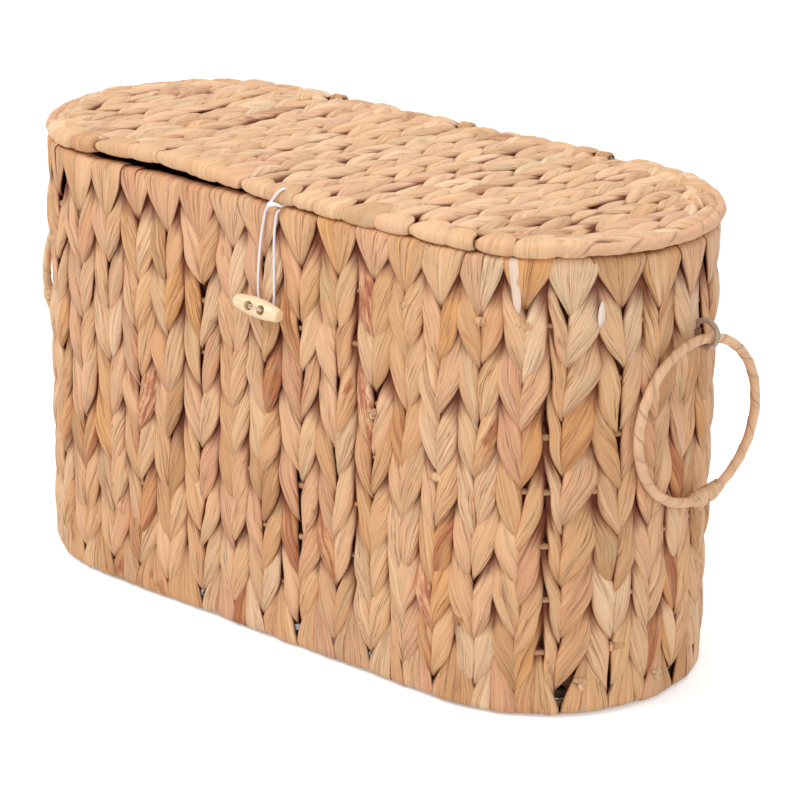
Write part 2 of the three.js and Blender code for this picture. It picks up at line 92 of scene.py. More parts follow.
def add_camera():
    back = Vector((
        math.sin(CAMERA_AZIMUTH) * math.cos(CAMERA_ELEVATION),
        -math.cos(CAMERA_AZIMUTH) * math.cos(CAMERA_ELEVATION),
        math.sin(CAMERA_ELEVATION),
    ))
    level = (-back).cross(Vector((0, 0, 1))).normalized()
    upright = level.cross(-back)
    right = level * math.cos(CAMERA_ROLL) + upright * math.sin(CAMERA_ROLL)
    up = upright * math.cos(CAMERA_ROLL) - level * math.sin(CAMERA_ROLL)
    data = bpy.data.cameras.new("camera")
    data.sensor_width = SENSOR
    data.lens = FOCAL_PIXELS * SENSOR / FRAME_PIXELS
    data.shift_x = (FRAME_PIXELS / 2 - CENTRE_PIXEL[0]) / FRAME_PIXELS
    data.shift_y = (CENTRE_PIXEL[1] - FRAME_PIXELS / 2) / FRAME_PIXELS
    data.clip_start = CLIP_START
    data.clip_end = CLIP_END
    camera = placed("camera", data)
    axes = Matrix((right, up, back)).transposed().to_4x4()
    camera.matrix_world = Matrix.Translation(Vector(CAMERA_TARGET) + back * CAMERA_DISTANCE) @ axes
    bpy.context.scene.camera = camera


add_camera()


# Smooth curves through given keys
def keyed(table, column, t):
    """The value of a table's column at t, on a smooth curve through its keys."""
    keys = np.array([row[0] for row in table], float)
    values = np.array([row[column] for row in table], float)
    slopes = np.gradient(values, keys)
    t = np.clip(t, keys[0], keys[-1])
    i = np.clip(np.searchsorted(keys, t, side="right") - 1, 0, len(keys) - 2)
    span = keys[i + 1] - keys[i]
    x = (t - keys[i]) / span
    rise = (3 - 2 * x) * x * x
    lift = x * (1 - x) * (1 - x) * slopes[i] * span
    fall = x * x * (x - 1) * slopes[i + 1] * span
    return values[i] * (1 - rise) + values[i + 1] * rise + lift + fall


def full_turn(count):
    return np.linspace(0, 2 * math.pi, count, endpoint=False)


def rows_of(*columns):
    """Columns of numbers, broadcast together, as rows. Three columns make points."""
    return np.stack(np.broadcast_arrays(*columns), -1)


# Materials
def linear(hex_colour):
    """A colour written as #rrggbb, as linear light."""
    parts = [int(hex_colour[i:i + 2], 16) / 255 for i in (1, 3, 5)]
    return [c / 12.92 if c <= 0.04045 else ((c + 0.055) / 1.055) ** 2.4 for c in parts] + [1.0]


class Nodes:
    """Short calls for building a material. A value is a number, a colour as #rrggbb, or a node's socket."""

    def __init__(self, name):
        self.material = bpy.data.materials.new(name)
        self.material.use_nodes = True
        self.tree = self.material.node_tree
        self.tree.nodes.clear()
        self.output = self.add("ShaderNodeOutputMaterial")
        self.shader = self.add("ShaderNodeBsdfPrincipled")
        self.feed(self.output.inputs["Surface"], self.shader.outputs["BSDF"])

    def surface(self, values):
        """The material, its shader fed with these values."""
        for key, value in values.items():
            self.feed(self.shader.inputs[key], value)
        return self.material

    def add(self, kind, inputs=None, **settings):
        node = self.tree.nodes.new(kind)
        for key, value in settings.items():
            setattr(node, key, value)
        for key, value in (inputs or {}).items():
            self.feed(node.inputs[key], value)
        return node

    def feed(self, socket, value):
        if isinstance(value, bpy.types.NodeSocket):
            self.tree.links.new(value, socket)
        else:
            socket.default_value = linear(value) if isinstance(value, str) else value

    def math(self, operation, a, b=0.0, clamp=False):
        return self.add("ShaderNodeMath", {0: a, 1: b}, operation=operation, use_clamp=clamp).outputs[0]

    def times(self, a, b, clamp=False):
        return self.math("MULTIPLY", a, b, clamp)

    def plus(self, a, b, clamp=False):
        return self.math("ADD", a, b, clamp)

    def remap(self, value, low, high, to_low=0.0, to_high=1.0):
        inputs = {"Value": value, "From Min": low, "From Max": high, "To Min": to_low, "To Max": to_high}
        return self.add("ShaderNodeMapRange", inputs).outputs["Result"]

    def mix(self, factor, a, b, blend="MIX"):
        node = self.add("ShaderNodeMix", data_type="RGBA", blend_type=blend)
        self.feed(node.inputs["Factor"], factor)
        self.feed(node.inputs["A"], a)
        self.feed(node.inputs["B"], b)
        return node.outputs["Result"]

    def noise(self, vector, scale=1.0, detail=2.0, roughness=0.5):
        inputs = {"Vector": vector, "Scale": scale, "Detail": detail, "Roughness": roughness}
        return self.add("ShaderNodeTexNoise", inputs).outputs["Fac"]

    def ramp(self, value, stops, interpolation="LINEAR"):
        node = self.add("ShaderNodeValToRGB", {"Fac": value})
        elements = node.color_ramp.elements
        node.color_ramp.interpolation = interpolation
        elements[0].position, elements[0].color = stops[0][0], linear(stops[0][1])
        elements[1].position, elements[1].color = stops[-1][0], linear(stops[-1][1])
        for place, colour in stops[1:-1]:
            elements.new(place).color = linear(colour)
        return node.outputs["Color"]

    def attribute(self, name):
        return self.add("ShaderNodeAttribute", attribute_name=name).outputs["Vector"]

    def split(self, vector):
        return self.add("ShaderNodeSeparateXYZ", {0: vector}).outputs

    def join(self, x, y, z):
        return self.add("ShaderNodeCombineXYZ", {0: x, 1: y, 2: z}).outputs[0]

    def bump(self, height, strength, distance):
        inputs = {"Height": height, "Strength": strength, "Distance": distance}
        return self.add("ShaderNodeBump", inputs).outputs["Normal"]


LEAF_TINTS = [
    (0.00, "#c59364"), (0.05, "#d5a171"), (0.15, "#e1ad7b"), (0.30, "#e9b88a"), (0.42, "#e6b188"),
    (0.54, "#ecc094"), (0.66, "#dfa878"), (0.75, "#dca482"), (0.82, "#e0b488"), (0.90, "#f0cba5"),
    (0.950, "#e1a568"), (0.982, "#d09562"), (1.00, "#b66f47"),
]
# Painted shade: the colour multiplied into a leaf where it meets its neighbours, for the shadow in the seams
SEAM_SHADE = "#823a12"
CREASE_TINT = "#804621"


def leaf_material(name, pale=0.0, pale_tint="#f6e2c4", lined=1.0):
    """Dried leaf: tint by leaf, faint streaks, thin dark creases, stains, red mottling, and painted shade in
    the seams.

    The leaf attribute holds three random numbers for each leaf. The form attribute holds the place across,
    the place along in mm, and how much painted shade a point gets where leaves meet.
    """
    n = Nodes(name)
    random = n.split(n.attribute("leaf"))
    fibre, along, painted_shade = n.split(n.attribute("form"))
    place = n.times(random[0], 37.0)
    other = n.times(random[1], 53.0)

    def fibres(width, length, detail, roughness=0.55):
        x = n.plus(n.times(fibre, width), place)
        y = n.plus(n.times(along, length), other)
        return n.noise(n.join(x, y, other), 1.0, detail, roughness)

    def contours(noise, level, width):
        off = n.math("ABSOLUTE", n.math("SUBTRACT", noise, level))
        return n.remap(off, 0.0, width, 1.0, 0.0)

    broad = fibres(1.3, 0.014, 2.0)
    streak = fibres(4.0, 0.012, 3.0)
    fine = fibres(13.0, 0.022, 3.0, 0.65)
    blot = fibres(0.9, 0.050, 3.0)
    crease = n.math("MAXIMUM", contours(streak, 0.47, 0.016), contours(fibres(5.0, 0.010, 2.0), 0.52, 0.022))
    crease = n.times(crease, n.remap(broad, 0.40, 0.56, 0.12 * lined, lined))

    shifted = n.plus(random[2], n.remap(broad, 0.25, 0.75, -0.03, 0.03), clamp=True)
    tint = n.ramp(shifted, LEAF_TINTS)
    warm = n.mix(n.remap(streak, 0.46, 0.76, 0.0, 0.34), tint, "#cb8850")
    bright = n.mix(n.remap(streak, 0.42, 0.26, 0.0, 0.30), warm, "#fae3bd")
    lines = n.mix(n.remap(fine, 0.56, 0.72, 0.0, 0.42 * lined), bright, "#965628")
    folded = n.mix(n.times(crease, 0.9), lines, CREASE_TINT)
    stained = n.times(n.remap(blot, 0.60, 0.70), n.remap(random[1], 0.78, 0.90), clamp=True)
    stain = n.mix(n.times(stained, 0.7), folded, "#a0522f")
    mottle = n.remap(fibres(2.6, 0.09, 5.0, 0.75), 0.44, 0.56)
    rusty = n.times(mottle, n.remap(random[1], 0.955, 0.975), clamp=True)
    rust = n.mix(n.times(rusty, 0.75), stain, "#a84a30")
    olive = n.times(n.remap(blot, 0.50, 0.32), n.remap(random[1], 0.36, 0.24), clamp=True)
    dull = n.mix(n.times(olive, 0.40), rust, "#c2ae88")
    if pale:
        dull = n.mix(pale, dull, pale_tint)
    relief = n.plus(n.times(streak, 0.8), n.times(fine, 0.6))
    return n.surface({
        # Painted shade: the seam colour multiplied in as far as the form's third column says
        "Base Color": n.mix(n.times(painted_shade, 0.92, clamp=True), dull, SEAM_SHADE, "MULTIPLY"),
        "Roughness": n.remap(streak, 0.3, 0.7, 0.46, 0.64),
        "Specular IOR Level": 0.36,
        "Normal": n.bump(n.math("SUBTRACT", relief, n.times(crease, 0.34)), 0.7, 0.0012),
    })


leaf = leaf_material("leaf")
# Painted top light: the lid's leaves are mixed a quarter towards pale, since the lid faces the lamps
top_lit_lid_leaf = leaf_material("top_lit_lid_leaf", pale=0.24, pale_tint="#f8e0c0", lined=0.75)
rim_leaf = leaf_material("rim_leaf", pale=0.22, pale_tint="#f0cfa8", lined=0.5)
tube_leaf = leaf_material("tube_leaf", pale=0.26, pale_tint="#edcaa2", lined=0.1)
faded_leaf = leaf_material("faded_leaf", pale=0.55, pale_tint="#f3e4dc", lined=0.6)
bleached_leaf = leaf_material("bleached_leaf", pale=0.75, pale_tint="#f7ebe2", lined=0.5)


def wire_material(name, scales, tints, mark_tint, marked_at, metallic, roughness, bump, rough_marks):
    """Coated wire, worn in broad patches and marked by fine specks, which rough_marks adds to the relief."""
    n = Nodes(name)
    place = n.add("ShaderNodeTexCoord").outputs["Object"]
    worn = n.noise(place, scales[0], 3.0, 0.6)
    marks = n.noise(place, scales[1], 2.0)
    return n.surface({
        "Base Color": n.mix(n.remap(marks, 0.6, marked_at, 0.0, 0.6), n.ramp(worn, tints), mark_tint),
        "Metallic": n.remap(worn, *metallic),
        "Roughness": n.remap(marks, 0.3, 0.7, *roughness),
        "Normal": n.bump(n.plus(worn, marks) if rough_marks else worn, *bump),
    })


# Straw-coloured frame wire, and the taupe plated wire of the rings
STRAW_TINTS = [(0.35, "#6f5636"), (0.5, "#8f7650"), (0.7, "#a58c64")]
PLATED_TINTS = [(0.32, "#97816f"), (0.52, "#b29a88"), (0.72, "#cab5a4")]
wire = wire_material("wire", (160.0, 900.0), STRAW_TINTS, "#6d4a2c", 0.72, (0.45, 0.6, 0.12, 0.0),
                     (0.55, 0.75), (0.3, 0.0004), False)
ring_metal = wire_material("ring_metal", (230.0, 1500.0), PLATED_TINTS, "#6d574b", 0.74,
                           (0.35, 0.65, 0.25, 0.45), (0.28, 0.48), (0.25, 0.0003), True)


# Meshes
FIBRE_WIDTH = 13.0
PLAIN = (0.5, 0.5, 0.5)


def make_piece(name, parts, material, body, replaced=(), bend=None):
    """One object from (points, polygons, leaf, form) parts; it rides on a body and may replace CAD nodes."""
    vertices, loops, sizes, marks, forms = [], [], [], [], []
    offset = 0
    for points, polygons, mark, form in parts:
        vertices.append(points)
        for block in polygons:
            loops.append((block + offset).ravel())
            sizes.append(np.full(len(block), block.shape[1]))
        marks.append(np.broadcast_to(mark, (len(points), 3)))
        forms.append(form)
        offset += len(points)
    vertices = np.concatenate(vertices)
    if bend is not None:
        vertices = bend(vertices)
    loops = np.concatenate(loops)
    sizes = np.concatenate(sizes)
    mesh = bpy.data.meshes.new(name)
    mesh.vertices.add(len(vertices))
    mesh.vertices.foreach_set("co", (vertices * MM).astype(np.float32).ravel())
    mesh.loops.add(len(loops))
    mesh.loops.foreach_set("vertex_index", loops.astype(np.int32))
    mesh.polygons.add(len(sizes))
    mesh.polygons.foreach_set("loop_start", (np.cumsum(sizes) - sizes).astype(np.int32))
    mesh.update(calc_edges=True)
    mesh.polygons.foreach_set("use_smooth", np.ones(len(sizes), bool))
    for key, values in (("leaf", marks), ("form", forms)):
        attribute = mesh.attributes.new(key, "FLOAT_VECTOR", "POINT")
        attribute.data.foreach_set("vector", np.concatenate(values).astype(np.float32).ravel())
    mesh.validate()
    mesh.materials.append(material)
    piece = placed(name, mesh)
    if body:
        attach(piece, body)
    if replaced:
        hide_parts(*replaced)
    return piece


def ring_polygons(rows, around, flip=False, closed=False):
    """Quads of a closed section of `around` points carried along `rows` rings, and the two end faces."""
    ring = np.arange(around)
    following = np.roll(ring, -1)
    count = rows if closed else rows - 1
    start = np.arange(count)[:, None] * around
    after = (np.arange(1, count + 1) % rows)[:, None] * around
    quads = np.stack([start + ring, start + following, after + following, after + ring], -1).reshape(-1, 4)
    blocks = [quads] if closed else [quads, np.stack([ring[::-1], (rows - 1) * around + ring])]
    return [block[:, ::-1] for block in blocks] if flip else blocks


def smooth_path(points, step, closed=False):
    """Evenly spaced points on a smooth curve through given ones."""
    points = np.array(points, float)
    if closed:
        points = np.concatenate([points[-1:], points, points[:2]])
    else:
        points = np.concatenate([2 * points[:1] - points[1:2], points, 2 * points[-1:] - points[-2:-1]])
    fine = []
    for a, b, c, d in zip(points, points[1:], points[2:], points[3:]):
        t = np.linspace(0, 1, 24, endpoint=False)[:, None]
        fine.append(0.5 * (2 * b + (c - a) * t + (2 * a - 5 * b + 4 * c - d) * t ** 2
                           + (3 * b - a - 3 * c + d) * t ** 3))
    fine = np.concatenate(fine + [points[-2:-1]])
    length = np.concatenate([[0], np.cumsum(np.linalg.norm(np.diff(fine, axis=0), axis=1))])
    count = max(4, int(length[-1] / step))
    places = np.linspace(0, length[-1], count, endpoint=not closed)
    return np.stack([np.interp(places, length, fine[:, k]) for k in range(3)], -1)


def sweep(path, radius, mark, form=None, closed=False, seed=(0.0, 0.0, 1.0)):
    """A tube along a path, its radius given for every ring and side, the first side towards seed."""
    rows, around = radius.shape
    ahead = np.roll(path, -1, 0) - np.roll(path, 1, 0)
    if not closed:
        ahead[0], ahead[-1] = path[1] - path[0], path[-1] - path[-2]
    ahead /= np.linalg.norm(ahead, axis=1, keepdims=True)
    seed = np.array(seed) if abs(np.dot(ahead[0], seed)) < 0.9 else np.array([0.0, 1.0, 0.0])
    sides = []
    for tangent in ahead:
        seed = seed - tangent * seed.dot(tangent)
        seed = seed / np.linalg.norm(seed)
        sides.append(seed)
    first = np.array(sides)
    second = np.cross(ahead, first)
    angle = np.broadcast_to(full_turn(around), (rows, around))
    if closed:
        slip = math.atan2(first[-1].dot(second[0]), first[-1].dot(first[0]))
        angle = angle - slip * np.linspace(0, 1, rows)[:, None]
    ring = np.cos(angle)[..., None] * first[:, None] + np.sin(angle)[..., None] * second[:, None]
    points = path[:, None] + radius[..., None] * ring
    if form is None:
        step = np.linalg.norm(path[1] - path[0])
        form = rows_of(np.cos(full_turn(around)), np.arange(rows)[:, None] * step, 0.0)
    return points.reshape(-1, 3), ring_polygons(rows, around, closed=closed), mark, form.reshape(-1, 3)


def lengths(path, closed=False):
    """The way along a path to each of its points, and its whole length."""
    after = np.roll(path, -1, 0) if closed else path[1:]
    steps = np.linalg.norm(after - (path if closed else path[:-1]), axis=1)
    along = np.concatenate([[0.0], np.cumsum(steps)])
    return along[:len(path)], along[-1]


# How far the painted shade reaches in from the edge of each wound turn
SEAM_SHADE_WIDTH = 0.035


def wrapped_tube(path, girth, step_up, pitch, rng, mark, closed=False, sides=24, seed=(0.0, 0.0, 1.0),
                 lumps=0.12, seam_shade=0.5, wander=0.055):
    """A tube wound with one flat strip; the edge of each turn stands on the turn before it, with painted
    shade along that edge.
    """
    along, whole = lengths(path, closed)
    if closed:
        pitch = whole / round(whole / pitch)
    sway = sum(rng.normal(0, wander * pitch) * np.sin(2 * math.pi * k * along / whole + rng.uniform(0, 6.3))
               for k in range(3, 17, 2))
    around = np.arange(sides)[None, :] / sides
    turns = (along + sway)[:, None] / pitch + around
    across = turns - np.floor(turns)
    knob = sum(rng.normal(0, lumps) * np.sin(2 * math.pi * (k * along[:, None] / whole + m * around))
               for k, m in ((7, 1), (11, 2), (19, 1), (29, 0)))
    radius = np.reshape(girth, (-1, 1)) + step_up * across ** 3 + knob * (1 - across ** 6)
    # Painted shade along the edge where each turn stands on the one before
    seam = np.clip(1 - np.minimum(across, 1 - across) / SEAM_SHADE_WIDTH, 0, 1)
    round_length = 2 * math.pi * float(np.mean(girth))
    strip = (np.floor(turns) - around) * round_length
    form = rows_of((2 * across - 1) * pitch / FIBRE_WIDTH, strip, seam_shade * seam)
    return sweep(path, radius, mark, form, closed, seed)


def wound(low, high, across, radius, turns, drift, step):
    """The path of a strand wound round two parallel rods, drifting sideways by `drift` a turn."""
    low, high, across = (np.array(v, float) for v in (low, high, across))
    reach = float(np.linalg.norm(high - low))
    up = (high - low) / reach
    out = np.cross(across, up)
    bend = math.pi * radius
    lap = 2 * (reach + bend)
    travel = np.arange(0, turns * lap, step)
    place = np.mod(travel, lap)
    rise = np.clip(place, 0, reach) - np.clip(place - reach - bend, 0, reach)
    turn = (np.clip(place - reach, 0, bend) + np.clip(place - 2 * reach - bend, 0, bend)) / radius
    side = (travel / lap - turns / 2) * drift
    return (low + up * rise[:, None] + across * side[:, None]
            + radius * (out * np.cos(turn)[:, None] + up * np.sin(turn)[:, None]))


# Where a strand lies. Each surface turns (sideways, along, height) in millimetres into points.
def wall_point(s, out, z):
    """Points beside the racetrack wall: s along the outer skin from the front middle towards +X."""
    half = STRAIGHT / 2
    arc = math.pi * BODY_RADIUS
    s = np.mod(s, PERIMETER)
    radius = BODY_RADIUS + out
    right = (s - half) / BODY_RADIUS - math.pi / 2
    left = (s - half - arc - STRAIGHT) / BODY_RADIUS + math.pi / 2
    spans = [s < half, s < half + arc, s < half + arc + STRAIGHT, s < half + 2 * arc + STRAIGHT]
    back = half - (s - half - arc)
    front = s - 2 * STRAIGHT - 2 * arc
    x = np.select(spans, [s, half + radius * np.cos(right), back, -half + radius * np.cos(left)], front)
    y = np.select(spans, [-radius, radius * np.sin(right), radius, radius * np.sin(left)], -radius)
    return rows_of(x, y, z)


CORNER = 4.0
RIM_FLAT = WALL - 2 * CORNER
QUARTER = CORNER * math.pi / 2
RIM_START = BODY_HEIGHT - CORNER
INSIDE_START = RIM_START + 2 * QUARTER + RIM_FLAT
GROUND = 0.05

# The elastic's two strands press the leaves in
PRESSED_AT = (2.7, 14.3)
PRESSED_ABOVE = 200.0
PRESSED_HALF = 1.2
PRESSED_TO = 0.2
PRESSED_SLOPE = 0.8

# The rings do too, and the wall is hollow behind the left hoop: place, height, reach and depth of each dent
DENTS = [
    (STRAIGHT / 2 + math.pi * BODY_RADIUS / 2 + 12.5, 214.0, 11.0, -0.6),
    (-STRAIGHT / 2 - math.pi * BODY_RADIUS / 2 - 7.0, 214.0, 11.0, -0.6),
    (-STRAIGHT / 2 - math.radians(49.5) * BODY_RADIUS, 186.0, 11.0, -3.2),
]
DENT_SLOPE = 0.25
LOOK_BACK = 100.0


def beside(s, place):
    """How far s is from a place along the wall, also across the start of the lap."""
    return np.abs(np.mod(s - place + LOOK_BACK, PERIMETER) - LOOK_BACK)


def wall_surface(s, p, d):
    """p runs up the outside, over the rim and down the inside; below the foot it runs under the wall."""
    p, d, s = np.broadcast_arrays(p, d, s)
    for strand in PRESSED_AT:
        beyond = np.maximum(beside(s, strand) - PRESSED_HALF, 0) + np.maximum(PRESSED_ABOVE - p, 0)
        beyond = beyond + np.maximum(p - RIM_START - 2, 0)
        d = np.minimum(d, PRESSED_TO + PRESSED_SLOPE * beyond)
    for place, level, reach, pressed in DENTS:
        beyond = np.maximum(np.hypot(beside(s, place), p - level) - reach, 0)
        d = np.minimum(d, pressed + DENT_SLOPE * beyond)
    foot = np.clip((CORNER - p) / CORNER, 0, math.pi / 2)
    under = np.maximum(CORNER - QUARTER - p, 0)
    first = np.clip((p - RIM_START) / CORNER, 0, math.pi / 2)
    flat = np.clip(p - RIM_START - QUARTER, 0, RIM_FLAT)
    second = np.clip((p - RIM_START - QUARTER - RIM_FLAT) / CORNER, 0, math.pi / 2)
    down = np.maximum(p - INSIDE_START, 0)
    turn = first + second - foot
    out = CORNER * (np.cos(first) - 1) - flat - CORNER * np.sin(second)
    z = np.clip(p, CORNER, RIM_START) + CORNER * np.sin(first) - CORNER * (1 - np.cos(second)) - down
    out = out + CORNER * (np.cos(foot) - 1) - under
    z = z - CORNER * np.sin(foot)
    return wall_point(s, out + d * np.cos(turn), np.maximum(z + d * np.sin(turn), GROUND))


def inside(z):
    """The place along the wall surface of a height on its inner face."""
    return INSIDE_START + RIM_START - z


def chord(radius, x):
    """Half the width of a racetrack of that end radius at x."""
    past = np.maximum(np.abs(x) - STRAIGHT / 2, 0)
    return np.sqrt(np.maximum(radius * radius - past * past, 0))


TIE_PLACES = (-105.0, 0.0, 105.0)
TIE_CLEAR = 5.8
TIE_SETBACK = 9.0
PANEL_EASE = 8.0


def panel(radius, level, up, dive):
    """The upper (up 1) or lower (up -1) face of a flat panel whose strands run forward from the back."""
    def surface(x, p, d):
        x, p, d = np.broadcast_arrays(x, p, d)
        past = np.maximum(np.abs(x) - STRAIGHT / 2, 0)
        reach = np.hypot(past, p)
        limit = np.full(x.shape, radius)
        if radius > LID_RIM:
            notch = sum((np.abs(x - place) < TIE_CLEAR).astype(float) for place in TIE_PLACES)
            limit = np.where(p < 0, limit - TIE_SETBACK * notch, limit)
        near = np.clip((limit - reach) / PANEL_EASE, 0, 1)
        ease = near * (2 - near)
        shrink = np.minimum(limit / np.maximum(reach, 1.0), 1.0)
        z = np.maximum(level + up * (d * ease - dive * (1 - ease)), GROUND)
        return rows_of(x - np.sign(x) * past * (1 - shrink), -p * shrink, z)
    return surface


def held(line, radius, shift=0.0):
    """The line x(p), shifted, and kept inside a racetrack of that end radius."""
    def kept(p):
        reach = STRAIGHT / 2 + chord(radius, STRAIGHT / 2 + np.abs(p))
        return np.clip(line(p) + shift, -reach, reach)
    return kept


LID_MID = (LID_LOW + LID_HIGH) / 2
LID_HALF = (LID_HIGH - LID_LOW) / 2
LID_TURN = LID_HALF * math.pi


def lid_edge(s, p, d):
    """p runs outward over the top of the lid's rim, round its edge and back below; s runs round the body."""
    s, p, d = np.broadcast_arrays(s, p, d)
    turn = np.clip(p / LID_HALF, 0, math.pi)
    inward = np.maximum(-p, 0) + np.maximum(p - LID_TURN, 0)
    out = LID_RIM - BODY_RADIUS - inward + (LID_HALF + d) * np.sin(turn)
    return wall_point(s, out, LID_MID + (LID_HALF + d) * np.cos(turn))


LIFT = 6.6
LIFT_PLACE = -80.0
LIFT_SPREAD = 66.0
ENDS_FROM = 140.0
LEFT_SHORT = 3.0
RIGHT_LONG = 1.2


def lid_bend(points):
    """The closed lid isn't flat: its front edge stands up on the left, and its left end falls short."""
    x, y, z = points.T
    end = np.clip((np.abs(x) - ENDS_FROM) / (STRAIGHT / 2 + BODY_RADIUS - ENDS_FROM), 0, 1)
    front = np.clip(-y / BODY_RADIUS, 0, 1.2)
    lifted = z + LIFT * np.exp(-(((x - LIFT_PLACE) / LIFT_SPREAD) ** 2)) * front ** 2
    return rows_of(x + np.where(x < 0, LEFT_SHORT, RIGHT_LONG) * end, y, lifted)


# A leaf's shape by its length: place between ridge and valley, half width, lie and crown
LEAF = [
    (0.00, 0.12, 0.10, -5.0, 0.4),
    (0.06, 0.15, 0.22, -4.9, 0.7),
    (0.14, 0.20, 0.33, -4.7, 1.2),
    (0.24, 0.28, 0.42, -4.4, 1.7),
    (0.36, 0.38, 0.48, -3.8, 2.2),
    (0.44, 0.44, 0.52, -3.2, 2.6),
    (0.54, 0.50, 0.55, -2.6, 3.0),
    (0.64, 0.55, 0.53, -2.3, 3.1),
    (0.72, 0.61, 0.47, -2.0, 2.9),
    (0.80, 0.69, 0.37, -1.9, 2.5),
    (0.87, 0.79, 0.25, -1.9, 1.9),
    (0.93, 0.89, 0.13, -2.2, 1.1),
    (0.97, 0.95, 0.06, -3.0, 0.6),
    (1.00, 0.99, 0.015, -4.6, 0.3),
]


def centred(rows):
    """The shape of a leaf that lies on the middle line, from its half width, lie and crown."""
    return [(t, 0.5, *rest) for t, *rest in rows]


RIM_TONGUE = centred([
    (0.00, 0.02, -4.6, 0.3),
    (0.03, 0.07, -3.2, 0.6),
    (0.08, 0.14, -2.4, 1.0),
    (0.15, 0.25, -1.9, 1.4),
    (0.22, 0.36, -1.5, 1.5),
    (0.29, 0.46, -1.2, 1.3),
    (0.34, 0.51, -0.9, 1.0),
    (0.38, 0.54, -0.7, 0.8),
    (0.60, 0.54, -0.5, 0.6),
    (0.75, 0.40, -1.4, 1.2),
    (1.00, 0.06, -4.6, 0.4),
])
FOOT_FAN = centred([
    (0.00, 0.02, -4.6, 0.4),
    (0.08, 0.07, -4.0, 0.8),
    (0.18, 0.14, -3.1, 1.2),
    (0.30, 0.23, -2.3, 1.5),
    (0.42, 0.33, -1.7, 1.6),
    (0.54, 0.43, -1.1, 1.4),
    (0.64, 0.50, -0.7, 1.1),
    (0.74, 0.54, -0.6, 0.9),
    (0.85, 0.54, -1.0, 0.5),
    (1.00, 0.50, -1.8, 0.4),
])


def half_of(table, overlap):
    """The same outline worked with two leaves, one on each side of its middle line."""
    return [(t, half - overlap / 2, half + overlap, lie, crown) for t, _, half, lie, crown in table]


def raised(table, proud, widen=1.0):
    """The same outline, lying higher and made wider."""
    return [(t, place, half * widen, lie + proud, crown) for t, place, half, lie, crown in table]


# How leaves cross their neighbours, how they differ, and how finely they are made
SHOULDER_AT = 0.56
SHOULDER_SPREAD = 0.13
SHOULDER_LIFT = 0.6
TIP_FROM = 0.6
TIP_OVER = 0.3
TIP_LIFT = 0.5
CROSS_SHIFT = 0.13
WOBBLE = (0.03, 0.07, 0.35, 0.14, 0.5, 0.0)
THICKNESS = 1.4
DEEPEST_PLEAT = 0.7
FINE_STEP = 2.2
COARSE_STEP = 5.0
EDGE_BIAS = 0.6
FLATNESS = 4.6
LID_FLATNESS = 2.5
# Painted shade: from this far across a leaf towards its edges, and below this height on its flanks over this
# depth
EDGE_SHADE_FROM = 0.92
SHADED_BELOW = (-1.5, 1.7)
LID_SHADED_BELOW = (0.6, 1.5)


def lay_leaf(surface, ridge, valley, start, end, table, rng, width, twist=0.0, fine=True, cross=(0.0, 0.0),
             flat=FLATNESS, dark=SHADED_BELOW):
    """One closed leaf on a surface, from start to end along it, between a ridge line and a valley line.

    cross says how far its shoulder and its tip reach over the neighbouring leaves, and flat how flat its top
    is. dark holds the height below which its flanks get painted shade, and over what depth.
    """
    front, back = (21, 3) if fine else (7, 2)
    length = abs(end - start)
    rows = max(8, int(length / (FINE_STEP if fine else COARSE_STEP)))
    t = np.linspace(0, 1, rows)[:, None]
    p = start + (end - start) * t
    along = length * t
    belly = np.sin(math.pi * t)
    wobble = rng.normal(0, 1, 6) * WOBBLE
    shoulder = cross[0] * np.exp(-(((t - SHOULDER_AT) / SHOULDER_SPREAD) ** 2))
    tip = cross[1] * np.clip((t - TIP_FROM) / TIP_OVER, 0, 1)
    lean = keyed(table, 1, t) + wobble[0] * belly - CROSS_SHIFT * shoulder + CROSS_SHIFT * tip
    half = keyed(table, 2, t) * width * (1 + wobble[1] * belly)
    lie = keyed(table, 3, t) + wobble[2] * belly + SHOULDER_LIFT * shoulder + TIP_LIFT * tip
    crown = keyed(table, 4, t) * (1 + wobble[3])
    roll = wobble[4] * belly
    r, v = ridge(p), valley(p)
    side = np.sign(v - r)
    centre = r + (v - r) * lean

    c = np.linspace(-1, 1, front + 1)[None, :]
    if fine:
        c = EDGE_BIAS * np.sin(c * math.pi / 2) + (1 - EDGE_BIAS) * c
    top = lie + crown * (1 - np.abs(c) ** flat) + roll * c
    if fine:
        fibre = c - twist * along
        reach = 2 + twist * length
        pleats = 0
        for _ in range(int(rng.integers(2, 5) * reach / 2)):
            at = 1 - reach * rng.uniform(0.05, 0.95)
            deep, wide = rng.uniform(0.15, 0.6), rng.uniform(0.08, 0.13)
            pleats = pleats - deep * np.exp(-(((fibre - at) / wide) ** 2))
        top = top + np.maximum(pleats, -DEEPEST_PLEAT) * belly ** 0.4 * (1 - 0.5 * c * c)
    b = np.linspace(1, -1, back + 1)[None, :]
    under = lie + crown * (1 - np.abs(b) ** flat) + roll * b - THICKNESS * (1 - 0.45 * b * b)
    sideways = np.concatenate([c, b], 1)
    height = np.concatenate([top, under], 1)
    points = surface(centre + side * half * sideways, p, height)
    flip = side.flat[0] * np.sign(end - start) < 0
    breadth = width / FIBRE_WIDTH
    # Painted shade at the leaf's edges and on its low flanks, for the shadow where it meets its neighbours
    rim = np.clip((np.abs(sideways) - EDGE_SHADE_FROM) / (1 - EDGE_SHADE_FROM), 0, 1)
    painted_shade = np.clip((dark[0] - height) / dark[1], 0, 1)
    form = rows_of((sideways - twist * along) * breadth, along, np.maximum(rim, painted_shade))
    polygons = ring_polygons(rows, front + back + 2, flip)
    return points.reshape(-1, 3), polygons, rng.uniform(0, 1, 3), form.reshape(-1, 3)


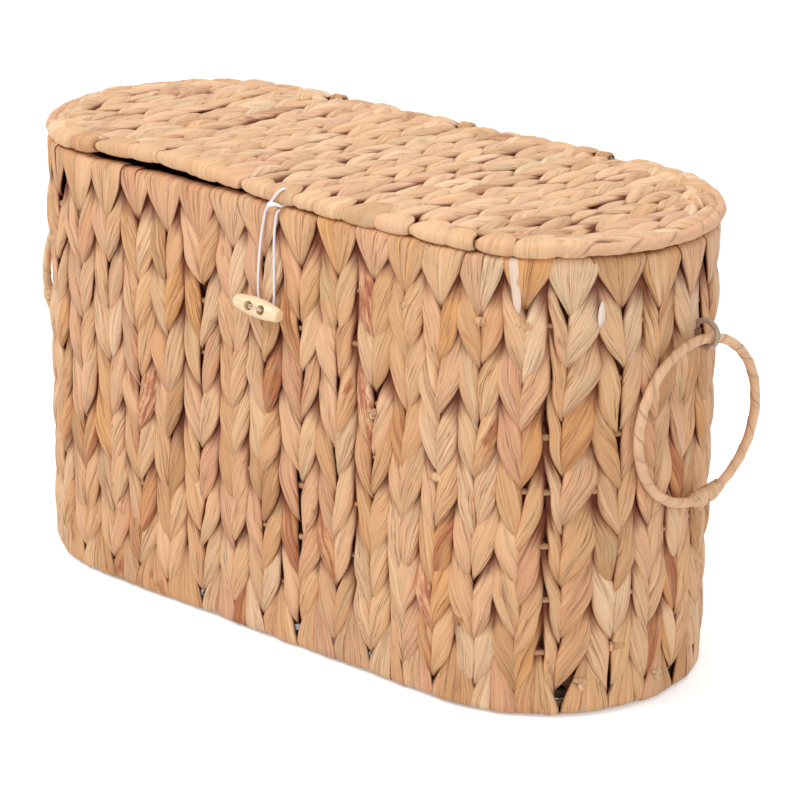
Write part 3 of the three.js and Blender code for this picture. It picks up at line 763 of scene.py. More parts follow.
def waves(rng, spread, length):
    """A smooth random line: a sum of a few slow waves."""
    sizes = rng.normal(0, spread, 3)
    phases = rng.uniform(0, 2 * math.pi, 3)
    return lambda p: sum(a * np.sin(2 * math.pi * p / (length / (k + 1)) + f)
                         for k, (a, f) in enumerate(zip(sizes, phases)))


# Body weave
VALLEYS = 44
VALLEY_PITCH = PERIMETER / VALLEYS
VALLEY_START = 4.0
COLUMN = VALLEY_PITCH / 2
HOOPS = [BASE_RIM_Z + i * HOOP_PITCH for i in range(1, HOOP_COUNT + 1)]
CROSSINGS = [BASE_RIM_Z + i * HOOP_PITCH for i in range(HOOP_COUNT)]
TIP = 1.5
LOWEST_TIP = 10.5
LEAF_LENGTH = 66.0
TWIST = 0.036
INNER_LENGTH = 58.0

# How far the photograph's valleys are from an even spacing, by number; the elastic hangs by valley 0
MEASURED_SHIFT = {38: 4.0, 39: 3.0, 40: 1.7, 41: -0.5, 42: 1.4, 43: 1.2, 0: 0.0, 1: 2.3, 2: 3.6, 3: 6.0,
                  4: 3.3, 5: 0.0, 6: -1.0, 7: -1.3, 8: -1.6, 9: 4.4}

# In one valley the right column lies over the left one
TWISTED_VALLEY = 8
TWISTED_LEAD = 0.42
TWISTED_CROSS = {"left": (-0.8, -0.6), "right": (0.6, 1.0)}


def body_lines(rng):
    """The valley lines and the ridge lines between them, as functions of the way along the wall."""
    valleys = []
    for j in range(VALLEYS):
        wave = waves(rng, 0.5, 260)
        base = VALLEY_START + j * VALLEY_PITCH + MEASURED_SHIFT.get(j, rng.normal(0, 1.8))
        valleys.append(lambda p, base=base, wave=wave: base + wave(p))
    ridges = []
    for j in range(VALLEYS):
        wave = waves(rng, 0.55, 150)
        shift = rng.normal(0, 1.3)
        near, far = valleys[j], valleys[(j + 1) % VALLEYS]
        turn = PERIMETER if j == VALLEYS - 1 else 0
        ridges.append(lambda p, near=near, far=far, wave=wave, turn=turn, shift=shift:
                      (near(p) + far(p) + turn) / 2 + wave(p) + shift)
    return valleys, ridges


LEAF_TOP = BODY_HEIGHT - 5
INNER_TOP = BODY_HEIGHT - 8
INNER_FOOT = (50, 4)
TONGUE_TIP = 236.0
TONGUE_END = inside(234)
TONGUES_WHOLE = 0.7
FAN_TOP = 44.0
FAN_UNDER = -10.0
FANS_WHOLE = 0.45
SPAN_WIDEN = 1.06
SPAN_OVERLAP = 0.08


def span_row(middle, before, after, start, end, table, whole, rng):
    """A wide leaf that spans from the line before to the line after, or two that meet on the middle line."""
    if rng.uniform() < whole:
        wide = raised(table, rng.uniform(-0.15, 0.35), SPAN_WIDEN)
        return [lay_leaf(wall_surface, before, after, start, end, wide, rng, 2 * COLUMN)]
    half = half_of(table, SPAN_OVERLAP)
    return [lay_leaf(wall_surface, middle, side, start + rng.normal(0, 1.5), end, half, rng, COLUMN)
            for side in (before, after)]


def weave_body():
    rng = np.random.default_rng(SEED)
    valleys, ridges = body_lines(rng)
    for j in range(VALLEYS):
        valley = valleys[j]
        left = ridges[j - 1]
        if j == 0:
            left = lambda p, line=ridges[-1]: line(p) - PERIMETER
        strands = []
        drop = rng.normal(0, 2.6)
        leading = TWISTED_LEAD if j == TWISTED_VALLEY else rng.normal(0, 0.07)
        for side, ridge, breadth in (("left", left, 1 - leading), ("right", ridges[j], 1 + leading)):
            lag = drop + rng.normal(0, 2.0)
            for crossing in CROSSINGS:
                end = crossing + TIP + lag + rng.normal(0, 2.6)
                end = max(end, LOWEST_TIP + rng.normal(0, 1.6))
                start = min(end + LEAF_LENGTH + rng.normal(0, 2.5), LEAF_TOP)
                twist = TWIST * rng.uniform(0.4, 1.4)
                cross = rng.uniform(-1, 1, 2)
                if j == TWISTED_VALLEY:
                    cross = TWISTED_CROSS[side]
                strands.append(lay_leaf(wall_surface, ridge, valley, start, end, LEAF, rng, COLUMN * breadth,
                                        twist, cross=cross))

            def line_inside(top, low):
                return lay_leaf(wall_surface, valley, ridge, inside(top), inside(low), LEAF, rng, COLUMN,
                                fine=False)

            for crossing in CROSSINGS:
                end = crossing + HOOP_PITCH / 2 + rng.normal(0, 1.5)
                strands.append(line_inside(min(end + INNER_LENGTH, INNER_TOP), end))
            strands.append(line_inside(*INNER_FOOT))
        tip = TONGUE_TIP + rng.normal(0, 2.6)
        strands += span_row(valley, left, ridges[j], tip, TONGUE_END, RIM_TONGUE, TONGUES_WHOLE, rng)
        after = valleys[j + 1] if j + 1 < VALLEYS else lambda p, line=valleys[0]: line(p) + PERIMETER
        top = FAN_TOP + rng.normal(0, 2.6)
        strands += span_row(ridges[j], valley, after, top, FAN_UNDER, FOOT_FAN, FANS_WHOLE, rng)
        make_piece(f"body_braid_{j + 1:02d}", strands, leaf, "root", ["body_weave"])


# Straw wound round the hoop wires
WOUND_RADIUS = 1.9
WOUND_SIDES = 8
HOOP_DEPTH = 4.55


def wind_hoops():
    rng = np.random.default_rng(SEED + 2)
    for i, z in enumerate(HOOPS):
        s = np.linspace(0, PERIMETER, 300, endpoint=False)
        path = wall_point(s, -HOOP_DEPTH, z)
        lumps = rng.normal(0, 0.12, (len(s), 1)) + rng.normal(0, 0.10, (len(s), WOUND_SIDES))
        # The third form column, 0.3, lays painted shade over the whole band, which lies deep in the wall
        form = rows_of(np.linspace(-1, 1, WOUND_SIDES) * 1.2, s[:, None], 0.3)
        band = sweep(path, WOUND_RADIUS + lumps, rng.uniform(0, 0.5, 3), form, closed=True)
        make_piece(f"wound_hoop_{i + 1}", [band], leaf, "root", [f"hoop_wire_{i + 1}"])


# Small things in the weave: straw wound round a hoop wire where it shows, knotted ends, a fray, pale slips
COLLARS = [(112.0, 232.6), (186.0, 233.0), (221.0, 201.5), (221.0, 137.0), (219.0, 104.6), (135.0, 136.6),
           (160.0, 233.0), (246.0, 41.0)]
COLLAR_LENGTH = 9.0
COLLAR_RADIUS = 2.7
COLLAR_OUT = -2.2
KNOTS = [((223.7, 20.5), 1.7, 2.6, 0.9), ((274.2, 16.6), 1.5, 2.3, 0.9), ((89.0, 163.4), 1.0, 2.4, 0.87),
         ((152.5, 54.0), 1.3, 2.2, 0.0)]
FRAY_AT = (89.0, 165.5)
FRAY_HAIRS = 6
FRAY_REACH = 6.0
SHORT_SLIP = centred([(0.0, 0.12, 0.1, 0.2), (0.2, 0.40, 0.4, 0.9), (0.5, 0.52, 0.5, 0.9),
                      (0.8, 0.42, 0.4, 0.9), (1.0, 0.14, 0.0, 0.2)])
LONG_SLIP = centred([(0.0, 0.50, 0.2, 0.6), (0.15, 0.52, 0.5, 0.5), (0.6, 0.46, -0.1, 0.5),
                     (0.9, 0.32, -0.1, 0.4), (1.0, 0.10, -0.8, 0.1)])
SLIPS = [((228.5, 246.5), (227.8, 231.5), 1.9, SHORT_SLIP, bleached_leaf),
         ((179.2, 271.5), (183.0, 239.0), 2.7, LONG_SLIP, faded_leaf)]


def small_things():
    rng = np.random.default_rng(SEED + 8)
    for i, (s, z) in enumerate(COLLARS):
        way = s + np.linspace(-COLLAR_LENGTH / 2, COLLAR_LENGTH / 2, 30)
        path = wall_point(way, COLLAR_OUT, z - 1.0)
        band = wrapped_tube(path, COLLAR_RADIUS, 0.35, 1.5, rng, (rng.uniform(), 0.5, 0.3), sides=16,
                            seam_shade=0.9)
        make_piece(f"wire_winding_{i + 1}", [band], leaf, "root")
    for i, ((s, z), thick, size, tone) in enumerate(KNOTS):
        t = full_turn(80)
        side = 0.5 * size * (np.sin(t) + 1.1 * np.sin(2 * t + 0.4))
        rise = 0.5 * size * (np.cos(t) - 1.2 * np.cos(2 * t))
        path = wall_point(s + side, 0.3 + 0.8 * np.sin(3 * t), z + rise)
        lump = np.repeat(thick + 0.1 * rng.normal(0, 1, (80, 1)), 12, 1)
        strand = sweep(path, lump, (rng.uniform(), 0.5, tone), closed=True)
        # The third form column, 0.15, gives the knot a little painted shade
        form = strand[3] * [0.5, 1.0, 0.0] + [0.0, 0.0, 0.15]
        make_piece(f"strand_knot_{i + 1}", [(*strand[:3], form)], leaf, "root")
    hairs = []
    s, z = FRAY_AT
    t = np.linspace(0, 1, 14)
    for _ in range(FRAY_HAIRS):
        lean, bow = rng.normal(0, 0.8), rng.normal(0, 1.0)
        path = wall_point(s + FRAY_REACH * (lean * t + 0.4 * bow * t * t), 0.4 + 1.8 * t * (1.2 - t),
                          z - FRAY_REACH * (0.8 * t - 0.3 * abs(bow) * t * t))
        hairs.append(sweep(path, np.repeat(0.34 * (1.1 - t)[:, None], 6, 1), rng.uniform(0, 1, 3)))
    make_piece("leaf_fray_1", hairs, leaf, "root")
    for i, ((s, top), (s_low, low), half, table, coat) in enumerate(SLIPS):
        sides = [lambda p, out=out: s + (s_low - s) * (p - top) / (low - top) + out for out in (-half, half)]
        slip = lay_leaf(wall_surface, *sides, top, low, table, rng, 2 * half)
        make_piece(f"pale_slip_{i + 1}", [slip], coat, "root")


# Lid weave
LID_VALLEYS = 22
LID_PITCH = 2 * (STRAIGHT / 2 + LID_RIM) / LID_VALLEYS
LID_ROW_PITCH = 2 * LID_RIM / (LID_WIRES + 1)
LID_ROWS = [(i - (LID_WIRES - 1) / 2) * LID_ROW_PITCH for i in range(LID_WIRES)]
LID_LEAF_LENGTH = 52.0
LID_TIP = 1.0
LID_DIVE = 2.6

LID_LEAF = [
    (0.00, 0.14, 0.12, -4.6, 0.7),
    (0.08, 0.18, 0.30, -4.0, 1.7),
    (0.20, 0.27, 0.44, -3.3, 3.2),
    (0.34, 0.38, 0.54, -2.5, 4.1),
    (0.48, 0.47, 0.59, -2.0, 4.6),
    (0.60, 0.53, 0.59, -1.9, 4.7),
    (0.71, 0.60, 0.53, -1.9, 4.5),
    (0.80, 0.69, 0.43, -1.9, 3.9),
    (0.88, 0.79, 0.30, -2.2, 3.0),
    (0.94, 0.88, 0.17, -2.8, 1.8),
    (1.00, 0.95, 0.06, -4.6, 0.5),
]

# Clearances at a panel's edge, and the shortest leaf laid there
EDGE_COLUMN = 9.5
EDGE_RIDGE = 1.5
ROW_CLEAR = 12
SHORTEST = 14


def weave_panel(name, radius, level, up, dive, columns, pitch, rows, length, material, body, fine, rng,
                replaced, bend=None):
    """Braid columns along Y on one face of a flat panel, every V pointing forward."""
    surface = panel(radius, level, up, dive)
    for j in range(columns):
        base = (j - (columns - 1) / 2) * pitch + rng.normal(0, 0.6)
        wave = waves(rng, 0.4, 180)
        valley = held(lambda p, base=base, wave=wave: base + wave(p), radius - EDGE_COLUMN)
        strands = []
        for side in (-1, 1):
            ridge = held(valley, radius - EDGE_RIDGE, side * pitch / 2)
            limit = float(chord(radius, max(abs(base) - 0.4 * pitch, 0)))
            lag = rng.normal(0, 1.5)
            places = [y for y in rows if abs(y) < limit - ROW_CLEAR] + [limit - 1]
            for place in places:
                end = place - LID_TIP + lag + rng.normal(0, 1.8)
                start = max(end - length - rng.normal(0, 2.0), -limit - 1)
                if min(end, limit) - start < SHORTEST:
                    continue
                twist = TWIST * rng.uniform(0.5, 1.5)
                cross = rng.uniform(-1, 1, 2)
                strand = lay_leaf(surface, ridge, valley, start, end, LID_LEAF, rng, pitch / 2, twist, fine,
                                  cross, LID_FLATNESS, LID_SHADED_BELOW)
                if up < 0:
                    strand = (strand[0], [block[:, ::-1] for block in strand[1]]) + strand[2:]
                strands.append(strand)
        make_piece(f"{name}_{j + 1:02d}", strands, material, body, replaced, bend)


def weave_lid():
    rng = np.random.default_rng(SEED + 1)
    face = dict(dive=LID_DIVE, columns=LID_VALLEYS, pitch=LID_PITCH, rows=LID_ROWS, length=LID_LEAF_LENGTH,
                body="lid", rng=rng, replaced=["lid_weave"], bend=lid_bend)
    weave_panel("lid_braid", LID_RIM + 1.5, LID_HIGH - 1.4, 1, material=top_lit_lid_leaf, fine=True, **face)
    weave_panel("lid_lining", LID_RIM - 1.0, LID_LOW + 2.0, -1, material=leaf, fine=False, **face)


# Lid rim: chunky wraps along the front and the back, a spiral-wound tube round each end
WRAP = centred([
    (0.00, 0.06, -3.6, 0.4),
    (0.05, 0.16, -2.4, 1.1),
    (0.12, 0.30, -1.7, 1.9),
    (0.20, 0.44, -1.5, 2.3),
    (0.28, 0.52, -1.6, 2.2),
    (0.38, 0.545, -1.7, 2.0),
    (0.65, 0.545, -1.8, 2.0),
    (0.88, 0.48, -2.0, 1.6),
    (1.00, 0.20, -3.2, 0.4),
])
WRAP_IN = 21.0
WRAP_UNDER = 18.0
WRAP_FLATNESS = 3.2
WRAP_LAP = 8
END_TUBE_ANGLE = math.radians(52)
END_TUBE_RADIUS = 3.3
END_TUBE_OUT = 1.3
END_TUBE_PITCH = 25.0
END_TUBE_WANDER = 0.012


def wrap_lid_rim():
    rng = np.random.default_rng(SEED + 3)
    arc = math.pi * BODY_RADIUS
    bare = END_TUBE_ANGLE * BODY_RADIUS
    middle = STRAIGHT / 2 + arc / 2
    front_span = (middle - PERIMETER / 2 + bare - WRAP_LAP, middle - bare + WRAP_LAP)
    back_span = (middle + bare - WRAP_LAP, middle + PERIMETER / 2 - bare + WRAP_LAP)
    ties = [STRAIGHT + arc - place for place in TIE_PLACES]
    for name, (at, high) in (("front", front_span), ("back", back_span)):
        wraps = []
        slant = rng.uniform(-0.2, 0.2)
        while at < high:
            width, next_slant = rng.uniform(15, 27), rng.uniform(-0.22, 0.22)
            if all(abs(at + width / 2 - tie) > TIE_CLEAR + width / 2 for tie in ties):
                start = lambda p, at=at, slant=slant: at + slant * p
                stop = lambda p, at=at + width, slant=next_slant: at + slant * p
                begin, end = -WRAP_IN + rng.normal(0, 3.0), LID_TURN + WRAP_UNDER
                table = raised(WRAP, rng.uniform(-0.25, 0.25))
                wraps.append(lay_leaf(lid_edge, start, stop, begin, end, table, rng, width,
                                      rng.normal(0, 0.01), flat=WRAP_FLATNESS))
                at, slant = at + width, next_slant
            else:
                at += 1.0
        make_piece(f"lid_rim_wrap_{name}", wraps, rim_leaf, "lid", ["lid_weave"], lid_bend)
    for side, name in ((1, "right"), (-1, "left")):
        turn = np.linspace(-END_TUBE_ANGLE, END_TUBE_ANGLE, 230)
        radius = LID_RIM + END_TUBE_OUT
        path = rows_of(side * (STRAIGHT / 2 + radius * np.cos(turn)), radius * np.sin(turn), LID_MID + 0.4)
        tube = wrapped_tube(path, END_TUBE_RADIUS, 0.5, END_TUBE_PITCH, rng, rng.uniform(0.62, 0.8, 3),
                            lumps=0.15, wander=END_TUBE_WANDER)
        make_piece(f"lid_rim_tube_{name}", [tube], tube_leaf, "lid", ["lid_weave"], lid_bend)


LID_RIM_WIRE = 2.0
LID_WIRE = 1.25


def wire_lid():
    """The lid's wires, which bend with it."""
    s = np.linspace(0, PERIMETER, 220, endpoint=False)
    path = wall_point(s, LID_RIM - BODY_RADIUS, LID_MID)
    rim = sweep(path, np.full((len(s), 10), LID_RIM_WIRE), PLAIN, closed=True)
    make_piece("lid_rim_core", [rim], wire, "lid", ["lid_rim_wire"], lid_bend)
    for i, y in enumerate(LID_ROWS):
        reach = STRAIGHT / 2 + math.sqrt((LID_RIM - 2.3) ** 2 - (abs(y) + 1.3) ** 2)
        x = np.linspace(-reach, reach, 60)
        core = sweep(rows_of(x, y, LID_MID), np.full((len(x), 8), LID_WIRE), PLAIN)
        make_piece(f"lid_core_{i + 1}", [core], wire, "lid", [f"lid_wire_{i + 1}"], lid_bend)


# Base panel
BASE_TOP = 9.0
BASE_RADIUS = BODY_RADIUS - WALL - 0.3
BASE_FOOT_RADIUS = BASE_RADIUS - 5.0
BASE_COLUMNS = 20
BASE_ROW_PITCH = 26.0


def weave_base():
    rng = np.random.default_rng(SEED + 4)
    rows = [(i - 2.5) * BASE_ROW_PITCH for i in range(6)]
    pitch = 2 * (STRAIGHT / 2 + BASE_RADIUS) / BASE_COLUMNS
    face = dict(columns=BASE_COLUMNS, pitch=pitch, rows=rows, length=LID_LEAF_LENGTH, body="root",
                material=leaf, fine=False, rng=rng, replaced=["base_weave"])
    weave_panel("base_braid", BASE_RADIUS, BASE_TOP - 2.2, 1, 1.5, **face)
    weave_panel("base_lining", BASE_FOOT_RADIUS, 3.6, -1, 0.6, **face)


# Materials of the fittings
def wood_material():
    """Pale turned wood: grain along the toggle, small pores, a thin satin varnish."""
    n = Nodes("toggle_wood")
    x, y, z = n.split(n.add("ShaderNodeTexCoord").outputs["Object"])
    cross_y, cross_z = n.times(y, 420.0), n.times(z, 420.0)
    grain = n.noise(n.join(n.times(x, 38.0), cross_y, cross_z), 1.0, 4.0, 0.6)
    band = n.noise(n.join(n.times(x, 18.0), n.times(y, 150.0), n.times(z, 150.0)), 1.0, 1.0)
    pore = n.noise(n.join(n.times(x, 260.0), n.times(cross_y, 3.2), n.times(cross_z, 3.2)), 1.0, 2.0)
    colour = n.ramp(band, [(0.30, "#e8c99c"), (0.50, "#f0d6ad"), (0.72, "#f5dfbd")])
    colour = n.mix(n.remap(grain, 0.50, 0.70, 0.0, 0.5), colour, "#d6b07a")
    colour = n.mix(n.remap(pore, 0.64, 0.74, 0.0, 0.35), colour, "#b98f58")
    return n.surface({
        "Base Color": colour,
        "Roughness": n.remap(grain, 0.3, 0.7, 0.34, 0.50),
        "Coat Weight": 0.25,
        "Coat Roughness": 0.22,
        "Normal": n.bump(grain, 0.35, 0.0002),
    })


def braid_material(name, light, shade, around, pitch, depth):
    """A fine round braid of two crossing sets of yarns, with painted shade between them; form holds the
    cosine, the mm along and the sine.
    """
    n = Nodes(name)
    cosine, along, sine = n.split(n.attribute("form"))
    turn = n.times(n.math("ARCTAN2", sine, cosine), around)
    travel = n.times(along, 2 * math.pi / pitch)
    one = n.math("SINE", n.plus(travel, turn))
    two = n.math("SINE", n.math("SUBTRACT", travel, turn))
    yarn = n.math("MAXIMUM", one, two)
    blotches = n.noise(n.attribute("form"), 0.7, 3.0)
    # Painted shade: between the yarns the colour goes towards the shade colour
    colour = n.mix(n.remap(yarn, 0.75, 0.0, 0.0, 0.8), light, shade)
    return n.surface({
        # Blotches darkened towards the shade colour
        "Base Color": n.mix(n.remap(blotches, 0.5, 0.75, 0.0, 0.4), colour, shade),
        "Roughness": n.remap(yarn, 0.0, 1.0, 0.85, 0.6),
        "Sheen Weight": 0.3,
        "Sheen Roughness": 0.5,
        "Normal": n.bump(yarn, 0.5, depth),
    })


wood = wood_material()
elastic_braid = braid_material("elastic_braid", "#fbf9fc", "#d8d2e2", 4.0, 1.1, 0.00008)
thread_twist = braid_material("thread_twist", "#eedccb", "#cbb097", 2.0, 0.9, 0.00005)
strip = leaf_material("handle_strip", pale=0.35, pale_tint="#f6d6b0", lined=0.45)


def round_form(path, sides, closed=False):
    """The form attribute of a round cord: cosine, mm along, sine."""
    along, _ = lengths(path, closed)
    return rows_of(np.cos(full_turn(sides)), along[:, None], np.sin(full_turn(sides)))


def round_cord(path, radius, sides=12, closed=False):
    radius = np.broadcast_to(np.reshape(radius, (-1, 1)), (len(path), sides))
    return sweep(path, radius, PLAIN, round_form(path, sides, closed), closed)


def oval(sides, half_width, half_height):
    """The radius of an oval section at each of its sides."""
    angle = full_turn(sides)
    return 1 / np.sqrt((np.cos(angle) / half_width) ** 2 + (np.sin(angle) / half_height) ** 2)


# Hinge ties: a flat strand wound three times round the rim wires of the body and the lid
TIE_TURNS = 3
TIE_RADIUS = 4.0
TIE_STEP = 3.1
STRAND_HALF = (1.62, 0.95)


def tie_hinges():
    rng = np.random.default_rng(SEED + 5)
    for i, x in enumerate(TIE_PLACES):
        low, high = (x, BODY_RADIUS - WALL / 2, TOP_RIM_Z), (x, LID_RIM, LID_MID)
        path = wound(low, high, (1, 0, 0), TIE_RADIUS, TIE_TURNS, TIE_STEP, 0.7)
        row = np.arange(len(path))
        angle = full_turn(16)
        lumps = 0.05 * np.sin(row / 3.1 + rng.uniform(0, 6))[:, None] * np.cos(3 * angle)
        fade = np.minimum(1, np.minimum(row, row[::-1]) / 6 + 0.35)[:, None]
        # Painted shade along the strand's flat edges, where its turns lie against each other
        edge = np.clip((np.abs(np.cos(angle)) - 0.93) / 0.07, 0, 1)
        form = rows_of(0.6 * np.cos(angle), lengths(path)[0][:, None], 0.7 * edge)
        girth = (oval(16, *STRAND_HALF) + lumps) * fade
        strand = sweep(path, girth, rng.uniform(0, 0.7, 3), form, seed=(1.0, 0.0, 0.0))
        make_piece(f"hinge_strand_{i + 1}", [strand], leaf, "root", [f"hinge_tie_{i + 1}"])


# Toggle: turned, with two rounded holes joined by a scooped groove at the front and the back
TOGGLE_AT = (8.5, -106.0, 209.8)
TOGGLE_TILT = math.radians(5)
TOGGLE_HALF = [(0.0, 5.76), (4.0, 5.68), (8.3, 5.3), (12.7, 4.62), (15.9, 3.82), (16.6, 3.6), (16.9, 3.3)]
TOGGLE_PROFILE = [(-x, girth) for x, girth in TOGGLE_HALF[:0:-1]] + TOGGLE_HALF
HOLE_AT = 4.7
HOLE_RADIUS = 2.95
GROOVE_RADIUS = 2.6
GROOVE_OUT = 6.95
HOLE_ROLL = math.radians(18)
HOLE_SHIFT = 1.2


def to_toggle(points):
    """Points from the toggle's own axes, x along it, into the basket's."""
    x, y, z = np.moveaxis(np.asarray(points, float), -1, 0)
    cos, sin = math.cos(TOGGLE_TILT), math.sin(TOGGLE_TILT)
    return rows_of(x * cos + z * sin, y, z * cos - x * sin) + np.array(TOGGLE_AT)


def plain_mesh(name, part):
    """An object of one part, to be shaped or to shape another."""
    points, polygons = part[0], part[1]
    faces = [list(map(int, face)) for block in polygons for face in block]
    mesh = bpy.data.meshes.new(name)
    mesh.from_pydata((points * MM).tolist(), [], faces)
    return placed(name, mesh)


def rolled(line):
    """Turned about the toggle's length so that the holes look up a little, and moved along it."""
    x, y, z = np.moveaxis(np.asarray(line, float), -1, 0)
    cos, sin = math.cos(HOLE_ROLL), math.sin(HOLE_ROLL)
    return rows_of(x + HOLE_SHIFT, y * cos + z * sin, z * cos - y * sin)


def add_toggle():
    keys = np.array(TOGGLE_PROFILE)
    x = np.concatenate([keys[:3, 0], np.linspace(-15.1, 15.1, 35), keys[-3:, 0]])
    girth = keyed(TOGGLE_PROFILE, 1, x)
    barrel = sweep(to_toggle(rows_of(x, 0, 0)), np.repeat(girth[:, None], 48, 1), PLAIN)
    toggle = plain_mesh("toggle_barrel", barrel)
    tools = []
    for side in (-1, 1):
        hole = rows_of(side * HOLE_AT, np.linspace(-8, 8, 9), 0)
        groove = rows_of(np.linspace(-HOLE_AT, HOLE_AT, 5), side * GROOVE_OUT, 0)
        for line, radius in ((hole, HOLE_RADIUS), (groove, GROOVE_RADIUS)):
            tool = sweep(to_toggle(rolled(line)), np.full((len(line), 32), radius), PLAIN)
            tools.append(plain_mesh("tool", tool))
    for tool in tools:
        cut = toggle.modifiers.new("cut", "BOOLEAN")
        cut.operation = "DIFFERENCE"
        cut.solver = "EXACT"
        cut.object = tool
    soft = toggle.modifiers.new("soft", "BEVEL")
    soft.width = 0.35 * MM
    soft.segments = 3
    soft.limit_method = "ANGLE"
    soft.angle_limit = math.radians(34)
    bpy.context.view_layer.update()
    shaped = bpy.data.meshes.new_from_object(toggle.evaluated_get(bpy.context.evaluated_depsgraph_get()))
    toggle.modifiers.clear()
    toggle.data = shaped
    shaped.name = "toggle_barrel"
    shaped.polygons.foreach_set("use_smooth", np.ones(len(shaped.polygons), bool))
    shaped.set_sharp_from_angle(angle=math.radians(32))
    shaped.materials.clear()
    shaped.materials.append(wood)
    for tool in tools:
        bpy.data.objects.remove(tool)
    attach(toggle, "toggle")
    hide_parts("toggle")


# Thread: four turns through both holes, a twisted shank, and a knot behind the outer skin
THREAD_RADIUS = 0.17
STITCH_DEPTH = 4.75
SHANK_END = 11.6
SHANK_RADIUS = 0.33
SHANK_TWIST = 2.4


def add_thread():
    rng = np.random.default_rng(SEED + 6)
    strands = []
    for level in (-0.85, -0.3, 0.25, 0.8):
        slack = rng.normal(0, 0.12, 8)
        x, y = HOLE_AT, STITCH_DEPTH
        corners = [(-x, -y + 0.8), (-x + 0.9, -y), (0, -y + 0.25), (x - 0.9, -y), (x, -y + 0.8),
                   (x, y - 0.8), (x - 0.9, y), (-x + 0.9, y), (-x, y - 0.8)]
        loop = []
        for k, (px, py) in enumerate(corners):
            spread = 1 if abs(py) > 4 else 0.7
            loop.append((px, py, level * spread + slack[k % 8]))
        path = smooth_path(loop, 0.35, closed=True)
        strands.append(round_cord(to_toggle(rolled(path)), THREAD_RADIUS, 8, True))
    way = np.linspace(STITCH_DEPTH - 0.2, SHANK_END, 60)
    for phase in full_turn(3):
        turn = SHANK_TWIST * way + phase
        path = rows_of(SHANK_RADIUS * np.cos(turn), way, SHANK_RADIUS * np.sin(turn))
        strands.append(round_cord(to_toggle(path), THREAD_RADIUS, 8))
    t = full_turn(90)
    knot = rows_of(0.45 * (np.sin(t) + 2 * np.sin(2 * t)), SHANK_END + 0.7 + 0.45 * np.sin(3 * t),
                   0.45 * (np.cos(t) - 2 * np.cos(2 * t)))
    strands.append(round_cord(to_toggle(knot), 0.5, 8, True))
    make_piece("toggle_stitch", strands, thread_twist, "toggle", ["toggle_thread"])


# Elastic: out of the lid's weave, over the lid's rim, and a loop down to the toggle and back
ELASTIC_RADIUS = 0.7
TURN_ROUTE = [(8.1, -99.0, 266.0), (10.6, -100.3, 268.6), (12.3, -101.0, 270.5), (16.7, -101.2, 276.1),
              (18.9, -99.8, 279.5), (20.1, -96.8, 280.9), (20.3, -95.4, 280.4), (20.1, -93.2, 279.1),
              (20.0, -90.8, 276.0), (20.0, -90.8, 272.85), (20.0, -91.6, 271.15), (20.0, -95.0, 271.15),
              (20.0, -99.0, 271.05)]
LOOP_ROUTE = [(8.1, -99.0, 266.0), (4.7, -99.0, 250.0), (2.3, -99.0, 227.8), (2.7, -99.0, 212.8),
              (5.6, -99.0, 206.5), (8.5, -99.0, 205.5), (11.4, -99.0, 206.5), (14.3, -99.0, 212.8),
              (14.7, -99.0, 227.8), (14.7, -99.0, 250.0), (16.5, -99.0, 265.0), (19.4, -99.5, 269.1)]
FLAT_ROUTE = [(11.6, -101.2, 270.2), (13.2, -101.5, 271.3), (15.8, -101.6, 272.2), (18.5, -101.2, 272.2),
              (21.0, -100.2, 271.6)]
FLAT_HALF = [(0.0, 0.7), (0.12, 1.5), (0.35, 1.6), (0.7, 1.0), (1.0, 0.7)]
FLAT_THICK = 0.45


def add_elastic():
    turn = smooth_path(TURN_ROUTE, 0.5)
    flat = smooth_path(FLAT_ROUTE, 0.4)
    tall = keyed(FLAT_HALF, 1, np.linspace(0, 1, len(flat)))[:, None]
    ribbon = sweep(flat, oval(16, tall, FLAT_THICK), PLAIN, round_form(flat, 16))
    parts = [round_cord(turn, ELASTIC_RADIUS, 14), ribbon]
    make_piece("elastic_turn", parts, elastic_braid, "lid", ["elastic_lid_turn"])
    cord = round_cord(smooth_path(LOOP_ROUTE, 0.6), ELASTIC_RADIUS, 14)
    piece = make_piece("elastic_cord", [cord], elastic_braid, None)
    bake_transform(piece)
    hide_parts("elastic_loop")


# Handles: a metal ring, its tie, a hoop wound with a pale strip and the thicker binding over its joint
RING_RADIUS = 7.7
RING_WIRE = 1.6
RING_Z = 216.0
HOOP_RADIUS = 47.9
HOOP_SLACK = 2.7
HOOP_GIRTH = 2.75
HOOP_STEP = 0.36
HOOP_WRAP = 15.0
BINDING_HALF = math.radians(14.5)
BINDING_GIRTH = [(0.0, 3.0), (0.08, 3.9), (0.28, 4.5), (0.55, 4.6), (0.82, 3.9), (1.0, 3.0)]
BINDING_WRAP = 9.5
RING_TIE_RADIUS = 2.6
RIGHT_HANDLE = dict(ring=(236.85, 12.5), out=1.55, yaw=math.radians(-8), slide=-5.0, upright=222.8,
                    front=229.9, binding=math.radians(12))
LEFT_HANDLE = dict(ring=(-237.58, 7.0), out=0.0, yaw=0.0, slide=0.0, upright=-223.5, front=-230.6,
                   binding=math.radians(-62))


def hoop_path(place, angles):
    """Points of a hoop that hangs in its ring, angles from its lowest point towards the back."""
    held_z = RING_Z - math.sqrt(HOOP_SLACK ** 2 - place["out"] ** 2)
    centre_z = held_z - math.sqrt(HOOP_RADIUS ** 2 - place["slide"] ** 2)
    across = place["slide"] + HOOP_RADIUS * np.sin(angles)
    x = place["ring"][0] + place["out"] - math.sin(place["yaw"]) * across
    y = place["ring"][1] + math.cos(place["yaw"]) * across
    return rows_of(x, y, centre_z - HOOP_RADIUS * np.cos(angles))


